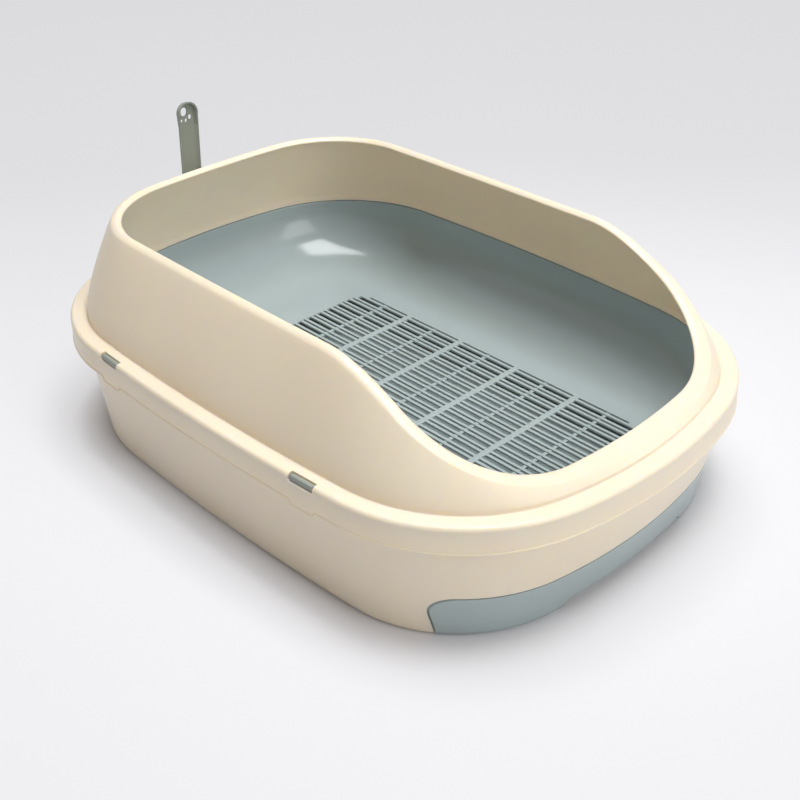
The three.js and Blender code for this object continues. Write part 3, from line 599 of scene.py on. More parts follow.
def tub_shell():
    """Closed wall of the tub. Columns are stations round the outline, bent upright across the
    doorway; rows run up the outer face, over the rim and down the inner face. The columns next to
    the doorway end on its side, each lower than the last, down to its round lower corner."""
    x_door = front_columns()
    jamb = DOOR_HALF + JAMB_STEP * np.arange(1, len(JAMB_FALL) + 1)
    # x of the columns between the doorway and where they fan out into plain normals
    gap = np.linspace(jamb[-1] + JAMB_STEP, FAN_END, 12)
    side = np.concatenate([jamb, gap])
    side_blend = np.concatenate([np.ones(len(jamb)), np.linspace(1, 0, len(gap))])
    side_low = np.concatenate([(DOOR_TOP - DOOR_ROUND) * np.array(JAMB_FALL), np.zeros(len(gap))])
    x_front = np.concatenate([-side[::-1], x_door, side])
    blend = np.concatenate([side_blend[::-1], np.ones(len(x_door)), side_blend])
    arch = door_height(x_door, DOOR_HALF, DOOR_TOP, DOOR_ROUND)
    nominal = front_angle(x_front, RIM_UNDER)
    left, right = front_angle(np.array([-FAN_END, FAN_END]), RIM_UNDER)
    plain = station_angles(40, 56, 34, notch_angles(RIM_NOTCH_HALF))
    before, after = plain[plain < left - 1e-4], plain[plain > right + 1e-4]
    phi = np.concatenate([before, nominal, after])
    low = np.concatenate([np.zeros(len(before)), side_low[::-1], arch, side_low, np.zeros(len(after))])
    front = slice(len(before), len(before) + len(x_front))
    past_door = np.clip(np.abs(x_front) - DOOR_HALF, 0, gap[0] - DOOR_HALF)

    def surface(t, inset):
        z = low + (RIM_UNDER - low) * t
        slant = door_taper(z[front]) * (np.abs(x_front) > DOOR_HALF) + past_door * (1 - t)
        bent = x_front - np.sign(x_front) * blend * slant
        turned = phi.copy()
        turned[front] = nominal + blend * (front_angle(bent, z[front], inset) - nominal)
        x, y = skin_point(turned, z, inset)
        return np.stack([x, y, z], axis=-1)

    t_up = np.concatenate([[0, 0.003, 0.009, 0.018, 0.03, 0.046, 0.068], np.linspace(0.09, 1.0, 26)])
    rows = [surface(0, 0.45), surface(0.001, 0.12)] + [surface(t, 0.0) for t in t_up[1:]]
    n = len(phi)
    face = skin_inset(phi, np.array(RIM_UNDER))
    edge = np.where(in_notch(phi, RIM_NOTCH_HALF), CLIP_PIVOT + 1.7, RIM_INSET)
    inner = TUB_TOP + TUB_WALL
    rim = fillet(pairs(n, (face, RIM_UNDER - 2), (face, RIM_UNDER), (edge, RIM_UNDER), (edge, RIM_TOP),
                       (inner, RIM_TOP), (inner, RIM_UNDER - 2)), (1.2, 0.6, 0.6, 0.8))
    rows += list(carry(phi, rim))
    rows += [surface(t, TUB_WALL) for t in t_up[::-1]]
    return facing_out(np.stack(rows), grid_faces(len(rows), n, True, True))


def tub_floor():
    """Closed floor plate inside the wall's foot: a flat disc with a thickness."""
    phi = station_angles(30, 40, 30)
    n = len(phi)
    x, y = skin_point(phi, np.zeros(n))
    door = (np.abs(x) < DOOR_HALF - DOOR_TAPER) & (y < 0)
    d = skin_inset(phi, np.zeros(n)) + np.where(door, DRAWER_WALL + DRAWER_GAP, TUB_WALL - 0.2)
    ring = carry(phi, pairs(n, (d, 0.0), (d - 2.5 * (~door), TUB_WALL)))
    verts = np.concatenate([ring.reshape(-1, 3), [[0.0, 0.0, 0.0], [0.0, 0.0, TUB_WALL]]])
    i = np.arange(n)
    j = (i + 1) % n
    bottom = np.stack([j, i, np.full(n, 2 * n)], axis=-1)
    top = np.stack([n + i, n + j, np.full(n, 2 * n + 1)], axis=-1)
    return verts, grid_faces(2, n, False, True).tolist() + bottom.tolist() + top.tolist()


def tub_ribs():
    """Runners, side guides and the rear stop of the drawer, on the tub's floor."""
    stop = TRAY_BACK + RIB_GAP
    parts = [box_points(-STOP_HALF, STOP_HALF, stop, stop + TUB_WALL, RIB_FOOT, STOP_TOP)]
    for side in (-1, 1):
        near, far = sorted((side * (TRAY_HALF + RIB_GAP), side * (TRAY_HALF + RIB_GAP + 2.5)))
        parts.append(box_points(near, far, GUIDE_FRONT, TRAY_BACK - TRAY_ROUND, RIB_FOOT, GUIDE_TOP))
        x = side * (TRAY_HALF - RUNNER_IN)
        parts.append(box_points(x - 1.5, x + 1.5, FLOOR["front"] + 30, TRAY_BACK, RIB_FOOT, RUNNER_TOP))
    return joined(parts)


# ---------------------------------------------------------------- splash guard

def opening_height(y):
    """Height of the opening's edge: an S-curve in y from the low front to the high back."""
    t = (y - SWEEP_FRONT) / (SWEEP_BACK - SWEEP_FRONT)
    return OPEN_LOW + (OPEN_HIGH - OPEN_LOW) * smoothstep(t)


def bezier(p, steps):
    """Points of a cubic curve with four control points of shape (stations, 2)."""
    t = np.linspace(0, 1, steps + 1)[:, None, None]
    return ((1 - t) ** 3 * p[0] + 3 * t * (1 - t) ** 2 * p[1]
            + 3 * t * t * (1 - t) * p[2] + t ** 3 * p[3])


def guard_wall(phi):
    """Outer section of the wall and lip at each station: a leaning cubic from the groove to the
    lip's outer crease, then the lip's own curve to the opening's edge."""
    n = len(phi)
    _, y, _, ny = outline_point(SKIRT, phi)
    edge_d = inset_to(OPENING, phi)
    edge_z = opening_height(y - ny * edge_d)
    high = (edge_z - OPEN_LOW) / (OPEN_HIGH - OPEN_LOW)
    lip = LIP_FRONT + (LIP_BACK - LIP_FRONT) * high
    end = station_pair(n, edge_d - lip, edge_z - 2 + 1.5 * high)
    rise, lean = end[:, 1] - WALL_FOOT_Z, end[:, 0] - WALL_FOOT
    control = pairs(n, (WALL_FOOT, WALL_FOOT_Z), (WALL_FOOT, WALL_FOOT_Z + WALL_STEEP * rise),
                    (WALL_FOOT + WALL_BULGE[0] * lean, WALL_FOOT_Z + WALL_BULGE[1] * rise))
    wall = bezier([*control, end], 28)
    lip_points = [end, *pairs(
        n, (edge_d - lip * 0.7, edge_z + LIP_RISE * high * 0.75 - 0.9 * (1 - high)),
        (edge_d - lip * 0.35, edge_z + LIP_RISE * high + 0.1), (edge_d, edge_z))]
    # smooth curve through the lip's points, leaving along the wall and ending on a slope
    before = wall[-3]
    after = 2 * lip_points[3] - lip_points[2] + station_pair(n, 0, -0.8)
    q = [before] + lip_points + [after]
    curve = []
    for k in range(1, 4):
        for t in np.linspace(0, 1, 6, endpoint=False)[(1 if k == 1 else 0):]:
            a, b, c, d = q[k - 1], q[k], q[k + 1], q[k + 2]
            curve.append(0.5 * (2 * b + (c - a) * t + (2 * a - 5 * b + 4 * c - d) * t * t
                                + (3 * b - a - 3 * c + d) * t ** 3))
    curve.append(lip_points[3])
    return np.concatenate([wall, np.stack(curve)])


def offset_section(section, thickness):
    """The same section moved to its inner side by a thickness, along its own normals."""
    along = np.gradient(section, axis=0)
    along /= np.linalg.norm(along, axis=-1, keepdims=True)
    return section + thickness * np.stack([along[..., 1], -along[..., 0]], axis=-1)


def slot_corner(away):
    """Rise of a clip slot's lower edge at its round corners, at a distance from its middle."""
    r = CLIP_SLOT_ROUND
    into = np.clip(away - (CLIP_SLOT_HALF - r), 0, r)
    inside = r - np.sqrt(r ** 2 - into ** 2)
    return np.where(away < CLIP_SLOT_HALF + 0.02, inside, np.clip(r - (away - CLIP_SLOT_HALF), 0, r))


def guard_shell(s):
    """Closed skin of the guard: skirt, bead, groove, wall, lip and inner faces. The clips' slots,
    open at the skirt's face, and the scoop's slot are left out of the bead and walled through it."""
    tab_half = s.tab_half / MM
    marks = np.concatenate([CLIP_SLOT_HALF + np.array(CLIP_SLOT_EDGES),
                            tab_half + np.linspace(0, TAB_RAMP, 9)])
    extra = [a + e * marks / SKIRT["side"] for _, _, a in clip_angles() for e in (-1, 1)]
    phi = station_angles(60, 84, 60, np.concatenate([*extra, SCOOP_SLOT_ENDS]))
    n = len(phi)
    middle = between_stations(phi)
    in_clip = from_clip(middle) < CLIP_SLOT_HALF
    in_hook = np.abs(middle - math.pi / 2) < SCOOP_SLOT_ANGLE
    tab = smoothstep((tab_half + TAB_RAMP - from_clip(phi)) / TAB_RAMP)
    bottom = SKIRT_BOTTOM - s.tab_drop / MM * tab
    bead_foot = BEAD_TOP - BEAD_ROUND
    face_z = SKIRT_BOTTOM + SKIRT_LIP[-1][1]
    slot_z = CLIP_SLOT_Z + slot_corner(from_clip(phi))

    def face(z):
        return SKIRT_FACE + (SKIRT_DRAFT - SKIRT_FACE) * ((z - face_z) / (bead_foot - face_z))

    rows = pairs(n, *((d, bottom + up) for d, up in SKIRT_LIP))
    rows += pairs(n, *((face(z), z) for z in (face_z + 2, face_z + 7, face_z + 11,
                                              slot_z - CLIP_SLOT_CHAMFER, slot_z)))
    rows[-1][:, 0] += CLIP_SLOT_CHAMFER * in_notch(phi, CLIP_SLOT_HALF)
    top_a = len(rows) - 1
    rows += pairs(n, *((SKIRT_DRAFT + BEAD_ROUND * (1 - math.cos(a)), bead_foot + BEAD_ROUND * math.sin(a))
                       for a in np.linspace(0, math.pi / 2, 13)))
    rows += pairs(n, (CLIP_SLOT_IN, BEAD_TOP))
    top_b = len(rows) - 1
    rows += pairs(n, (SCOOP_SLOT[0], BEAD_TOP), (SCOOP_SLOT[1], BEAD_TOP))
    hook_top = len(rows) - 2
    rows += fillet(pairs(n, (SCOOP_SLOT[1], BEAD_TOP), (WALL_FOOT - 0.3, BEAD_TOP - 0.9),
                         (WALL_FOOT, WALL_FOOT_Z)), [1.1])
    wall = guard_wall(phi)
    inner = offset_section(wall, GUARD_WALL)
    rows += list(wall)
    # round the free edge between the outer and the inner face
    tip, back = wall[-1], inner[-1]
    centre = (tip + back) / 2
    out = np.stack([-(back - tip)[:, 1], (back - tip)[:, 0]], axis=-1)
    out *= np.sign(((tip - wall[-2]) * out).sum(axis=-1))[:, None]
    rows += [centre + (tip - centre) * math.cos(a) + 0.5 * out * math.sin(a)
             for a in np.linspace(0, math.pi, 7)[1:-1]]
    rows += list(inner[::-1])
    foot = WALL_FOOT + GUARD_WALL
    rows += pairs(n, (foot, BEAD_UNDER + 0.8), (foot - 1.0, BEAD_UNDER + 0.5), (foot - 1.2, BEAD_UNDER),
                  (SCOOP_SLOT[1], BEAD_UNDER))
    hook_low = len(rows) - 1
    rows += pairs(n, (SCOOP_SLOT[0], BEAD_UNDER), (CLIP_SLOT_IN, BEAD_UNDER))
    low_b = len(rows) - 1
    rows += pairs(n, *((d, BEAD_UNDER) for d in np.linspace(CLIP_SLOT_IN - 0.3, 3.6, 11)),
                  (2.8, BEAD_UNDER - 1.0), (SKIRT_WALL, BEAD_UNDER - 1.8), (SKIRT_WALL, slot_z))
    low_a = len(rows) - 1
    rows += pairs(n, (SKIRT_WALL, 99.0), (SKIRT_WALL, bottom + 0.5), (SKIRT_WALL - 0.4, bottom))
    keep = np.ones((len(rows), n), bool)
    keep[top_a:top_b] &= ~in_clip
    keep[low_b:low_a] &= ~in_clip
    keep[[hook_top, hook_low]] &= ~in_hook
    walls = []
    for tops, lows, cols in ((list(range(top_a, top_b + 1)), list(range(low_a, low_b - 1, -1)), in_clip),
                             ([hook_top, hook_top + 1], [hook_low + 1, hook_low], in_hook)):
        walls += [side_wall(n, tops[0], lows[0], cols), side_wall(n, tops[-1], lows[-1], cols),
                  end_walls(n, tops, lows, cols)]
    return facing_out(carry(phi, rows), grid_faces(len(rows), n, True, True, keep), *walls)


# ---------------------------------------------------------------- sieve pan

def pan_dish():
    """Closed dish of the pan round its flat floor: quarter ellipses from the flange down to the
    floor's outline, then flat in to the sieve's rectangle, above and below. The flange is cut
    back at the clips and has a slot for the scoop's hook."""
    phi = station_angles(40, 64, 40, np.concatenate([notch_angles(PAN_NOTCH_HALF), SCOOP_SLOT_ENDS]))
    n = len(phi)
    floor_d = inset_to(PAN_FLOOR, phi)
    top = PAN_TOP - 2
    near, far = SCOOP_SLOT

    def ellipse(a, extra):
        return station_pair(n, floor_d - (floor_d - PAN_LIP + extra) * math.cos(a),
                            top - (top - SIEVE_Z + extra) * math.sin(a))

    angles = np.linspace(0, math.pi / 2, 26)
    edge = np.where(in_notch(phi, PAN_NOTCH_HALF), CLIP_PIVOT + CHEEK_HALF + 0.4, PAN_INSET)
    rows = [ellipse(a, 0.0) for a in angles[::-1]]
    rows += fillet([rows[-1], *pairs(n, (PAN_LIP - 0.4, PAN_TOP), (13, PAN_TOP))], [1.0])
    rows += pairs(n, (far, PAN_TOP), (near, PAN_TOP))
    # the sieve's rectangle becomes row 0, so each count is one more than in this list
    hook_top = len(rows) - 1
    rows += pairs(n, (edge + 0.4, PAN_TOP), (edge, PAN_TOP - 0.4), (edge, PAN_UNDER + 0.4),
                  (edge + 0.4, PAN_UNDER), (near, PAN_UNDER), (far, PAN_UNDER))
    hook_low = len(rows) - 1
    rows += fillet([*pairs(n, (far, PAN_UNDER), (PAN_LIP - PAN_WALL, PAN_UNDER)),
                    ellipse(angles[1], PAN_WALL)], [0.8])
    rows += [ellipse(a, PAN_WALL) for a in angles[1:]]
    verts = carry(phi, rows)
    x0, x1, y0, y1 = SIEVE_PLATE
    rect = np.clip(verts[0], (x0, y0, -np.inf), (x1, y1, np.inf))
    under = rect * (1, 1, 0) + (0, 0, SIEVE_Z - PAN_WALL)
    verts = np.concatenate([rect[None], verts, under[None]])
    in_hook = np.abs(between_stations(phi) - math.pi / 2) < SCOOP_SLOT_ANGLE
    keep = np.ones((len(verts), n), bool)
    keep[[hook_top, hook_low]] &= ~in_hook
    tops, lows = (hook_top, hook_top + 1), (hook_low + 1, hook_low)
    return facing_out(verts, grid_faces(len(verts), n, False, True, keep),
                      side_wall(n, tops[0], lows[0], in_hook),
                      side_wall(n, tops[1], lows[1], in_hook)[:, ::-1], end_walls(n, tops, lows, in_hook))


def sieve():
    """The slotted floor: a plate whose grid lines follow the slots' sides and ends, with the
    slots' cells left out and each slot walled by a ring with rounded arrises."""
    c = SIEVE_ARRIS
    k = np.arange(-2 * SLOT_PAIRS, 2 * SLOT_PAIRS + 1)
    x = k * SLOT_PITCH / 2
    half = np.where(k % 2 == 0, SLOT_NARROW, SLOT_WIDE) / 2
    edge = SLOT_PAIRS * SLOT_PITCH + SLOT_NARROW / 2
    from_corner = np.maximum(0, SIEVE_CORNER - (edge - np.abs(x)))
    trim = SIEVE_CORNER - np.sqrt(SIEVE_CORNER ** 2 - from_corner ** 2)
    bar = np.full(len(x), CROSSBAR / 2)
    cell = (SIEVE_BACK - SIEVE_FRONT) / SIEVE_CELLS
    starts = SIEVE_FRONT + cell * np.arange(SIEVE_CELLS + 1)[:, None]
    fronts = starts[:-1] + np.stack([trim] + [bar] * (SIEVE_CELLS - 1))
    backs = starts[1:] - np.stack([bar] * (SIEVE_CELLS - 1) + [trim])
    x0, x1, y0, y1 = SIEVE_PLATE
    xs = np.concatenate([[x0], np.stack([x - half - c, x + half + c], axis=-1).ravel(), [x1]])
    column = np.concatenate([[0], np.repeat(np.arange(len(x)), 2), [len(x) - 1]])
    ends = np.stack([fronts - c, backs + c], axis=1).reshape(-1, len(x))[:, column]
    ys = np.concatenate([np.full((1, len(xs)), y0), ends, np.full((1, len(xs)), y1)])
    keep = np.ones((len(ys) - 1, len(xs) - 1), bool)
    keep[1::2, 1:-1:2] = False
    plate = grid_faces(len(ys), len(xs), False, False, keep)
    parts = []
    for z, turn in ((SIEVE_Z, 1), (SIEVE_Z - PAN_WALL, -1)):
        v = np.stack([np.broadcast_to(xs, ys.shape), ys, np.full(ys.shape, z)], axis=-1)
        parts.append((v, plate[:, ::turn]))
    # walls of the slots
    sx, sw = np.repeat(x, SIEVE_CELLS), np.repeat(half, SIEVE_CELLS)
    front, back = fronts.T.ravel(), backs.T.ravel()
    rings = []
    for z, grow in ((SIEVE_Z, c), (SIEVE_Z - 0.12, c * 0.3), (SIEVE_Z - c, 0.0),
                    (SIEVE_Z - PAN_WALL + c, 0.0), (SIEVE_Z - PAN_WALL, c)):
        left, right, near, far = sx - sw - grow, sx + sw + grow, front - grow, back + grow
        rings.append(np.stack([np.stack([a, b, np.full(len(sx), z)], axis=-1) for a, b in
                               ((left, near), (right, near), (right, far), (left, far))], axis=1))
    v = np.stack(rings, axis=1)
    slot = grid_faces(len(rings), 4, False, True)
    parts.append((v, (slot[None] + (np.arange(len(v)) * len(rings) * 4)[:, None, None]).reshape(-1, 4)))
    # low bars across the middle of each cell
    reach = SLOT_PAIRS * SLOT_PITCH + SLOT_NARROW
    for y in (starts[:-1, 0] + cell / 2):
        parts.append(box_points(-reach, reach, y - SUB_BAR / 2, y + SUB_BAR / 2,
                                SIEVE_Z - PAN_WALL - 0.8, SIEVE_Z - 1.2))
    return joined(parts)


# ---------------------------------------------------------------- drawer

def drawer_columns():
    """x of the drawer front's upright lines: closer at the finger notch and the round corners."""
    half = DOOR_HALF - DRAWER_GAP
    r = DRAWER_ROUND
    xs = np.concatenate([np.linspace(0, FINGER_TOP - 1, 26), FINGER_TOP + np.array([-0.5, 0, 0.5]),
                         np.linspace(FINGER_TOP + 1, FINGER_FOOT - 0.6, 8),
                         [FINGER_FOOT, FINGER_FOOT + 0.6],
                         np.linspace(FINGER_FOOT + 2, half - r, 24, endpoint=False),
                         half - r + r * np.sin(np.linspace(0, math.pi / 2, 16))])
    return np.concatenate([-xs[:0:-1], xs])


def drawer_front():
    """Bowed front of the drawer, flush with the tub: for each x a closed loop up the outer face
    between the finger notch and the round-cornered top, and down the inner face. The lines lean
    in towards the floor at both ends, with the doorway."""
    xs = drawer_columns()
    n = len(xs)
    half = DOOR_HALF - DRAWER_GAP
    top = door_height(xs, half, DOOR_TOP - DRAWER_GAP, DRAWER_ROUND)
    a = np.abs(xs)
    lean = np.sign(xs) * smoothstep((a - DRAWER_LEAN_FROM) / (half - DRAWER_LEAN_FROM))
    u = np.clip((a - FINGER_TOP + 0.4) / (FINGER_FOOT - FINGER_TOP + 0.8), 0, 1)
    low = np.maximum(FINGER_Z * (1 - u - 0.35 * (smoothstep(u) - u)), DRAWER_LIFT)
    r = DRAWER_ARRIS
    t = np.concatenate([[0, 0.01, 0.022, 0.036, 0.052, 0.07, 0.09, 0.115],
                        np.linspace(0.14, 0.98, 20), [1]])
    turns = (0.5, 1.05, math.pi / 2)

    # (height, inset) of each row: outer face, upper arrises, inner face, lower arrises
    def face(steps, inset):
        return [(low + r + (top - low - 2 * r) * step, inset) for step in steps]

    def arris(centre, rise, inset, inwards, angles):
        return [(centre + rise * math.sin(b), inset + inwards * r * (1 - math.cos(b))) for b in angles]

    rows = (face(t, 0.0) + arris(top - r, r, 0, 1, turns) + arris(top - r, r, DRAWER_WALL, -1, turns[::-1])
            + face(t[::-1], DRAWER_WALL)
            + arris(low + r, -r, DRAWER_WALL, -1, turns) + arris(low + r, -r, 0, 1, turns[::-1]))
    verts = np.stack([np.stack([*skin_point(front_angle(xs - lean * door_taper(z), z, inset), z, inset), z],
                               axis=-1) for z, inset in rows])
    m = len(rows)
    back = 2 * len(t) + 5
    ends = []
    for col, turn in ((0, 1), (n - 1, -1)):
        i = np.arange(len(t) + 2)
        j = (back - i) % m
        side = np.stack([i * n + col, (i + 1) * n + col, (j - 1) * n + col, j * n + col], axis=-1)
        i = np.arange(2)
        low_i = (back + 1 + i) % m
        foot = np.stack([low_i * n + col, (low_i - 1) * n + col,
                         (m - i) % m * n + col, (m - 1 - i) % m * n + col], axis=-1)
        ends += [side[:, ::turn], foot[:, ::turn]]
    return facing_out(verts, grid_faces(m, n, True, False), *ends)


def tray_outline(off, z, recess):
    """Plan of the tray at a height. The front follows the drawer's face and steps back round the
    finger recess where one is given as (half width, y); the back corners are round."""
    half, back, r = TRAY_HALF - off, TRAY_BACK - off, TRAY_ROUND - off
    step, behind = recess if recess else (FINGER_FOOT, -1000.0)
    xf = np.concatenate([np.linspace(-half, -step, 18), np.linspace(-step + 0.02, step - 0.02, 31),
                         np.linspace(step, half, 18)])
    zf = np.full(len(xf), float(z))
    inset = np.full(len(xf), TRAY_BEHIND + off)
    _, fy = skin_point(front_angle(xf, zf, inset), zf, inset)
    fy = np.where(np.abs(xf) < step - 0.01, np.maximum(fy, behind), fy)
    a = np.linspace(0, math.pi / 2, 13)
    right = np.stack([half - r + r * np.cos(a), back - r + r * np.sin(a)], -1)
    left = np.stack([-(half - r) - r * np.sin(a), back - r + r * np.cos(a)], -1)
    plan = np.concatenate([np.stack([xf, fy], -1), right, left])
    return np.concatenate([plan, np.full((len(plan), 1), z)], axis=-1)


def drawer_tray():
    """Open tray: plans carried up the outside, over the edge and down the inside, and closed by one
    flat face below and one above. Its low front steps back and roofs the finger recess."""
    b, w, top, ring = TRAY_FLOOR, TRAY_WALL, TRAY_TOP, TRAY_RING
    slope = (FINGER_FOOT - FINGER_TOP) / FINGER_Z

    def outside(z, more=0):
        return FINGER_FOOT - slope * z + more, FINGER_BACK + more

    inside = (FINGER_FOOT + w, FINGER_BACK + w)
    # (inset, height, recess) of each plan
    plans = [(1.6 + ring, b, outside(b, ring)), (1.6, b, outside(b)), (0.5, b + 0.5, outside(b + 0.5)),
             (0.0, b + 1.8, outside(b + 1.8)), (0.0, FINGER_Z, outside(FINGER_Z)),
             (0.0, FINGER_Z + 0.01, None), (0.0, 18, None), (0.0, top - 0.8, None),
             (0.25, top - 0.2, None), (1.2, top, None), (w - 0.25, top - 0.2, None),
             (w, top - 0.8, None), (w, 18, None), (w, FINGER_Z + w + 0.01, None),
             (w, FINGER_Z + w, inside), (w, b + w + 1.8, inside), (w + 0.6, b + w + 0.5, inside),
             (w + 1.8, b + w, inside), (w + 1.8 + ring, b + w, (inside[0] + ring, inside[1] + ring))]
    verts = np.stack([tray_outline(*plan) for plan in plans])
    m, n = verts.shape[:2]
    low, high = np.arange(n)[::-1], np.arange(n) + (m - 1) * n
    faces = grid_faces(m, n, False, True).tolist() + [low.tolist(), high.tolist()]
    return verts.reshape(-1, 3), faces


# ---------------------------------------------------------------- clips

def clip_place(side, y):
    """A function that turns insets, heights and distances along the skirt at a clip into points."""
    x, y, nx, ny = (float(v) for v in outline_point(SKIRT, np.array(clip_angle(side, y))))

    def place(inset, height, along):
        xy = np.array([x, y]) - np.outer(inset, [nx, ny]) + np.outer(along, [-ny, nx])
        return np.c_[xy, height]

    return place


def clip_mesh(side, y):
    """A latch: its side profile (inset, height) carried along the skirt, with stub pins."""
    hook, top = RIM_UNDER - 0.6, BEAD_TOP - 1
    d = CLIP_PIVOT + np.array([-1.3, 0.2, 1.4, 1.4, 0.2, 0.2, 1.6, 1.6, 1.2, -1.6, -2.2, -2.4, -2.4, -1.3])
    z = np.array([hook - 2.8, hook - 2.8, hook - 1, hook, hook, PAN_TOP - 0.6, PAN_TOP + 0.6, top - 0.5,
                  top, top, top - 0.6, top - 1.6, top - 4, top - 4])
    t = np.linspace(0, TAU, PIN_SIDES, endpoint=False)
    pin_d, pin_z = CLIP_PIVOT + PIN_R * np.cos(t), CLIP_PIVOT_Z + PIN_R * np.sin(t)
    place = clip_place(side, y)
    return joined([prism(*(place(inset, height, np.full(len(inset), e)) for e in (-half, half)))
                   for inset, height, half in ((d, z, CLIP_HALF),
                                               (pin_d, pin_z, CLIP_SLOT_HALF + CHEEK_THICK - 0.4))])


def clip_cheeks():
    """The plates that carry the clips' pins: each a ring between a rectangle and a round hole,
    given a thickness. Points of the rectangle lie where rays from the hole's middle meet it."""
    t = np.linspace(0, TAU, 33)[:-1] + TAU / 64
    low, high = PAN_UNDER - CLIP_PIVOT_Z, BEAD_UNDER + 0.1 - CLIP_PIVOT_Z
    reach = np.minimum(CHEEK_HALF / np.maximum(np.abs(np.cos(t)), 1e-6),
                       np.where(np.sin(t) > 0, high, -low) / np.maximum(np.abs(np.sin(t)), 1e-6))
    hole = np.minimum(PIN_HOLE_R, reach - 0.02)
    parts = []
    for side, y, _ in clip_angles():
        place = clip_place(side, y)
        for e in (-1, 1):
            near, far = e * CLIP_SLOT_HALF, e * (CLIP_SLOT_HALF + CHEEK_THICK)
            rings = [place(CLIP_PIVOT + radius * np.cos(t), CLIP_PIVOT_Z + radius * np.sin(t),
                           np.full(len(t), along))
                     for radius, along in ((hole, near), (reach, near), (reach, far), (hole, far))]
            parts.append(facing_out(np.concatenate(rings), grid_faces(4, len(t), True, True)))
    return joined(parts)


# ---------------------------------------------------------------- settings

class LitterBoxSizes(bpy.types.PropertyGroup):
    """Sizes of details that a user may change."""
    tab_half: bpy.props.FloatProperty(
        name="Tab half length", description="Half the length of the tab under each clip",
        default=0.010, unit="LENGTH")
    tab_drop: bpy.props.FloatProperty(
        name="Tab drop", description="How far the tab hangs below the skirt",
        default=0.004, unit="LENGTH")
    floor_size: bpy.props.FloatProperty(
        name="Floor size", description="Width of the studio floor", default=14.0, unit="LENGTH")


class LitterBoxColours(bpy.types.PropertyGroup):
    """Colours of the plastics, as sRGB hex values."""
    cream: bpy.props.StringProperty(
        name="Cream", description="Tub and guard", default="#EFE0CC")
    cream_shade: bpy.props.StringProperty(
        name="Cream clouding", description="Darker end of the cream's clouding", default="#EBDBC5")
    blue: bpy.props.StringProperty(
        name="Blue-grey", description="Pan and drawer", default="#A8B5B6")
    blue_shade: bpy.props.StringProperty(
        name="Blue-grey clouding", description="Darker end of the blue-grey's clouding", default="#A2AFB0")
    clip: bpy.props.StringProperty(
        name="Clips", description="Latches", default="#959B93")
    clip_shade: bpy.props.StringProperty(
        name="Clip clouding", description="Darker end of the clips' clouding", default="#868C85")
    scoop: bpy.props.StringProperty(
        name="Scoop", description="Litter scoop", default="#8A9287")
    scoop_shade: bpy.props.StringProperty(
        name="Scoop clouding", description="Darker end of the scoop's clouding", default="#8F978D")


# ---------------------------------------------------------------- operators

class LITTERBOX_OT_tub(bpy.types.Operator):
    """Builds the tub: its wall with the doorway, its floor and the drawer's runners"""
    bl_idname = "litterbox.tub"
    bl_label = "Tub"

    def execute(self, context):
        cream = plastic("cream")
        dress(make_object("tub_wall", *tub_shell()), cream, "tub", "base_tub")
        dress(recalculated(make_object("tub_floor", *tub_floor())), cream, "tub", None)
        dress(bevelled(make_object("tub_runners", *tub_ribs()), 0.5), cream, "tub", None)
        return {"FINISHED"}


class LITTERBOX_OT_guard(bpy.types.Operator):
    """Builds the splash guard: skirt, bead, wall, S-curve and lip"""
    bl_idname = "litterbox.guard"
    bl_label = "Splash guard"

    def execute(self, context):
        shell = guard_shell(context.scene.litter_box_sizes)
        dress(make_object("guard_shell", *shell), plastic("cream"), "guard", "splash_guard")
        dress(make_object("guard_cheeks", *clip_cheeks()), plastic("cream"), "guard", None)
        return {"FINISHED"}


class LITTERBOX_OT_pan(bpy.types.Operator):
    """Builds the sieve pan: the dish and its slotted floor"""
    bl_idname = "litterbox.pan"
    bl_label = "Sieve pan"

    def execute(self, context):
        blue = plastic("blue")
        dress(make_object("pan_dish", *pan_dish()), blue, "pan", "sieve_pan")
        dress(make_object("pan_sieve", *sieve(), smooth=SIEVE_SHARP_FROM), blue, "pan", None)
        return {"FINISHED"}


class LITTERBOX_OT_drawer(bpy.types.Operator):
    """Builds the waste drawer: its bowed front and its tray"""
    bl_idname = "litterbox.drawer"
    bl_label = "Waste drawer"

    def execute(self, context):
        blue = plastic("blue")
        dress(make_object("drawer_front", *drawer_front()), blue, "drawer", "waste_drawer")
        tray = recalculated(make_object("drawer_tray", *drawer_tray()))
        dress(tray, blue, "drawer", None)
        return {"FINISHED"}


class LITTERBOX_OT_clips(bpy.types.Operator):
    """Builds the four latches in the bead's slots"""
    bl_idname = "litterbox.clips"
    bl_label = "Clips"

    def execute(self, context):
        for side, side_name in ((-1, "left"), (1, "right")):
            for y, end_name in zip(CLIP_Y, ("front", "back")):
                place = f"{side_name}_{end_name}"
                latch = recalculated(make_object("latch_" + place, *clip_mesh(side, y)))
                dress(bevelled(latch, 0.35), plastic("clip"), "latch_" + place, "clip_" + place)
        return {"FINISHED"}


class LITTERBOX_OT_scoop(bpy.types.Operator):
    """Builds the litter scoop that hangs behind the back edge"""
    bl_idname = "litterbox.scoop"
    bl_label = "Litter scoop"

    def execute(self, context):
        scoop = merged_copy("scoop_body", "litter_scoop", SCOOP_SHARP_FROM)
        dress(scoop, plastic("scoop"), "scoop", "litter_scoop")
        return {"FINISHED"}


# ---------------------------------------------------------------- studio

BOARD_COLOUR, SEEN_AIR, LIGHT_AIR = "#EEEEF1", "#DCDCE0", "#FFFBF6"
SEEN_STRENGTH, LIGHT_STRENGTH = 1.0, 0.29
# painted light that lightens the board's shadow, as an emission: ((from, to) mm from the tub's foot, added
# share); none at the foot, where the shadow stays dark
PAINTED_LIGHT_SHARES = (((-5, 28), 0.58), ((60, 500), 0.3))
FOOT_CORNER = 120.0
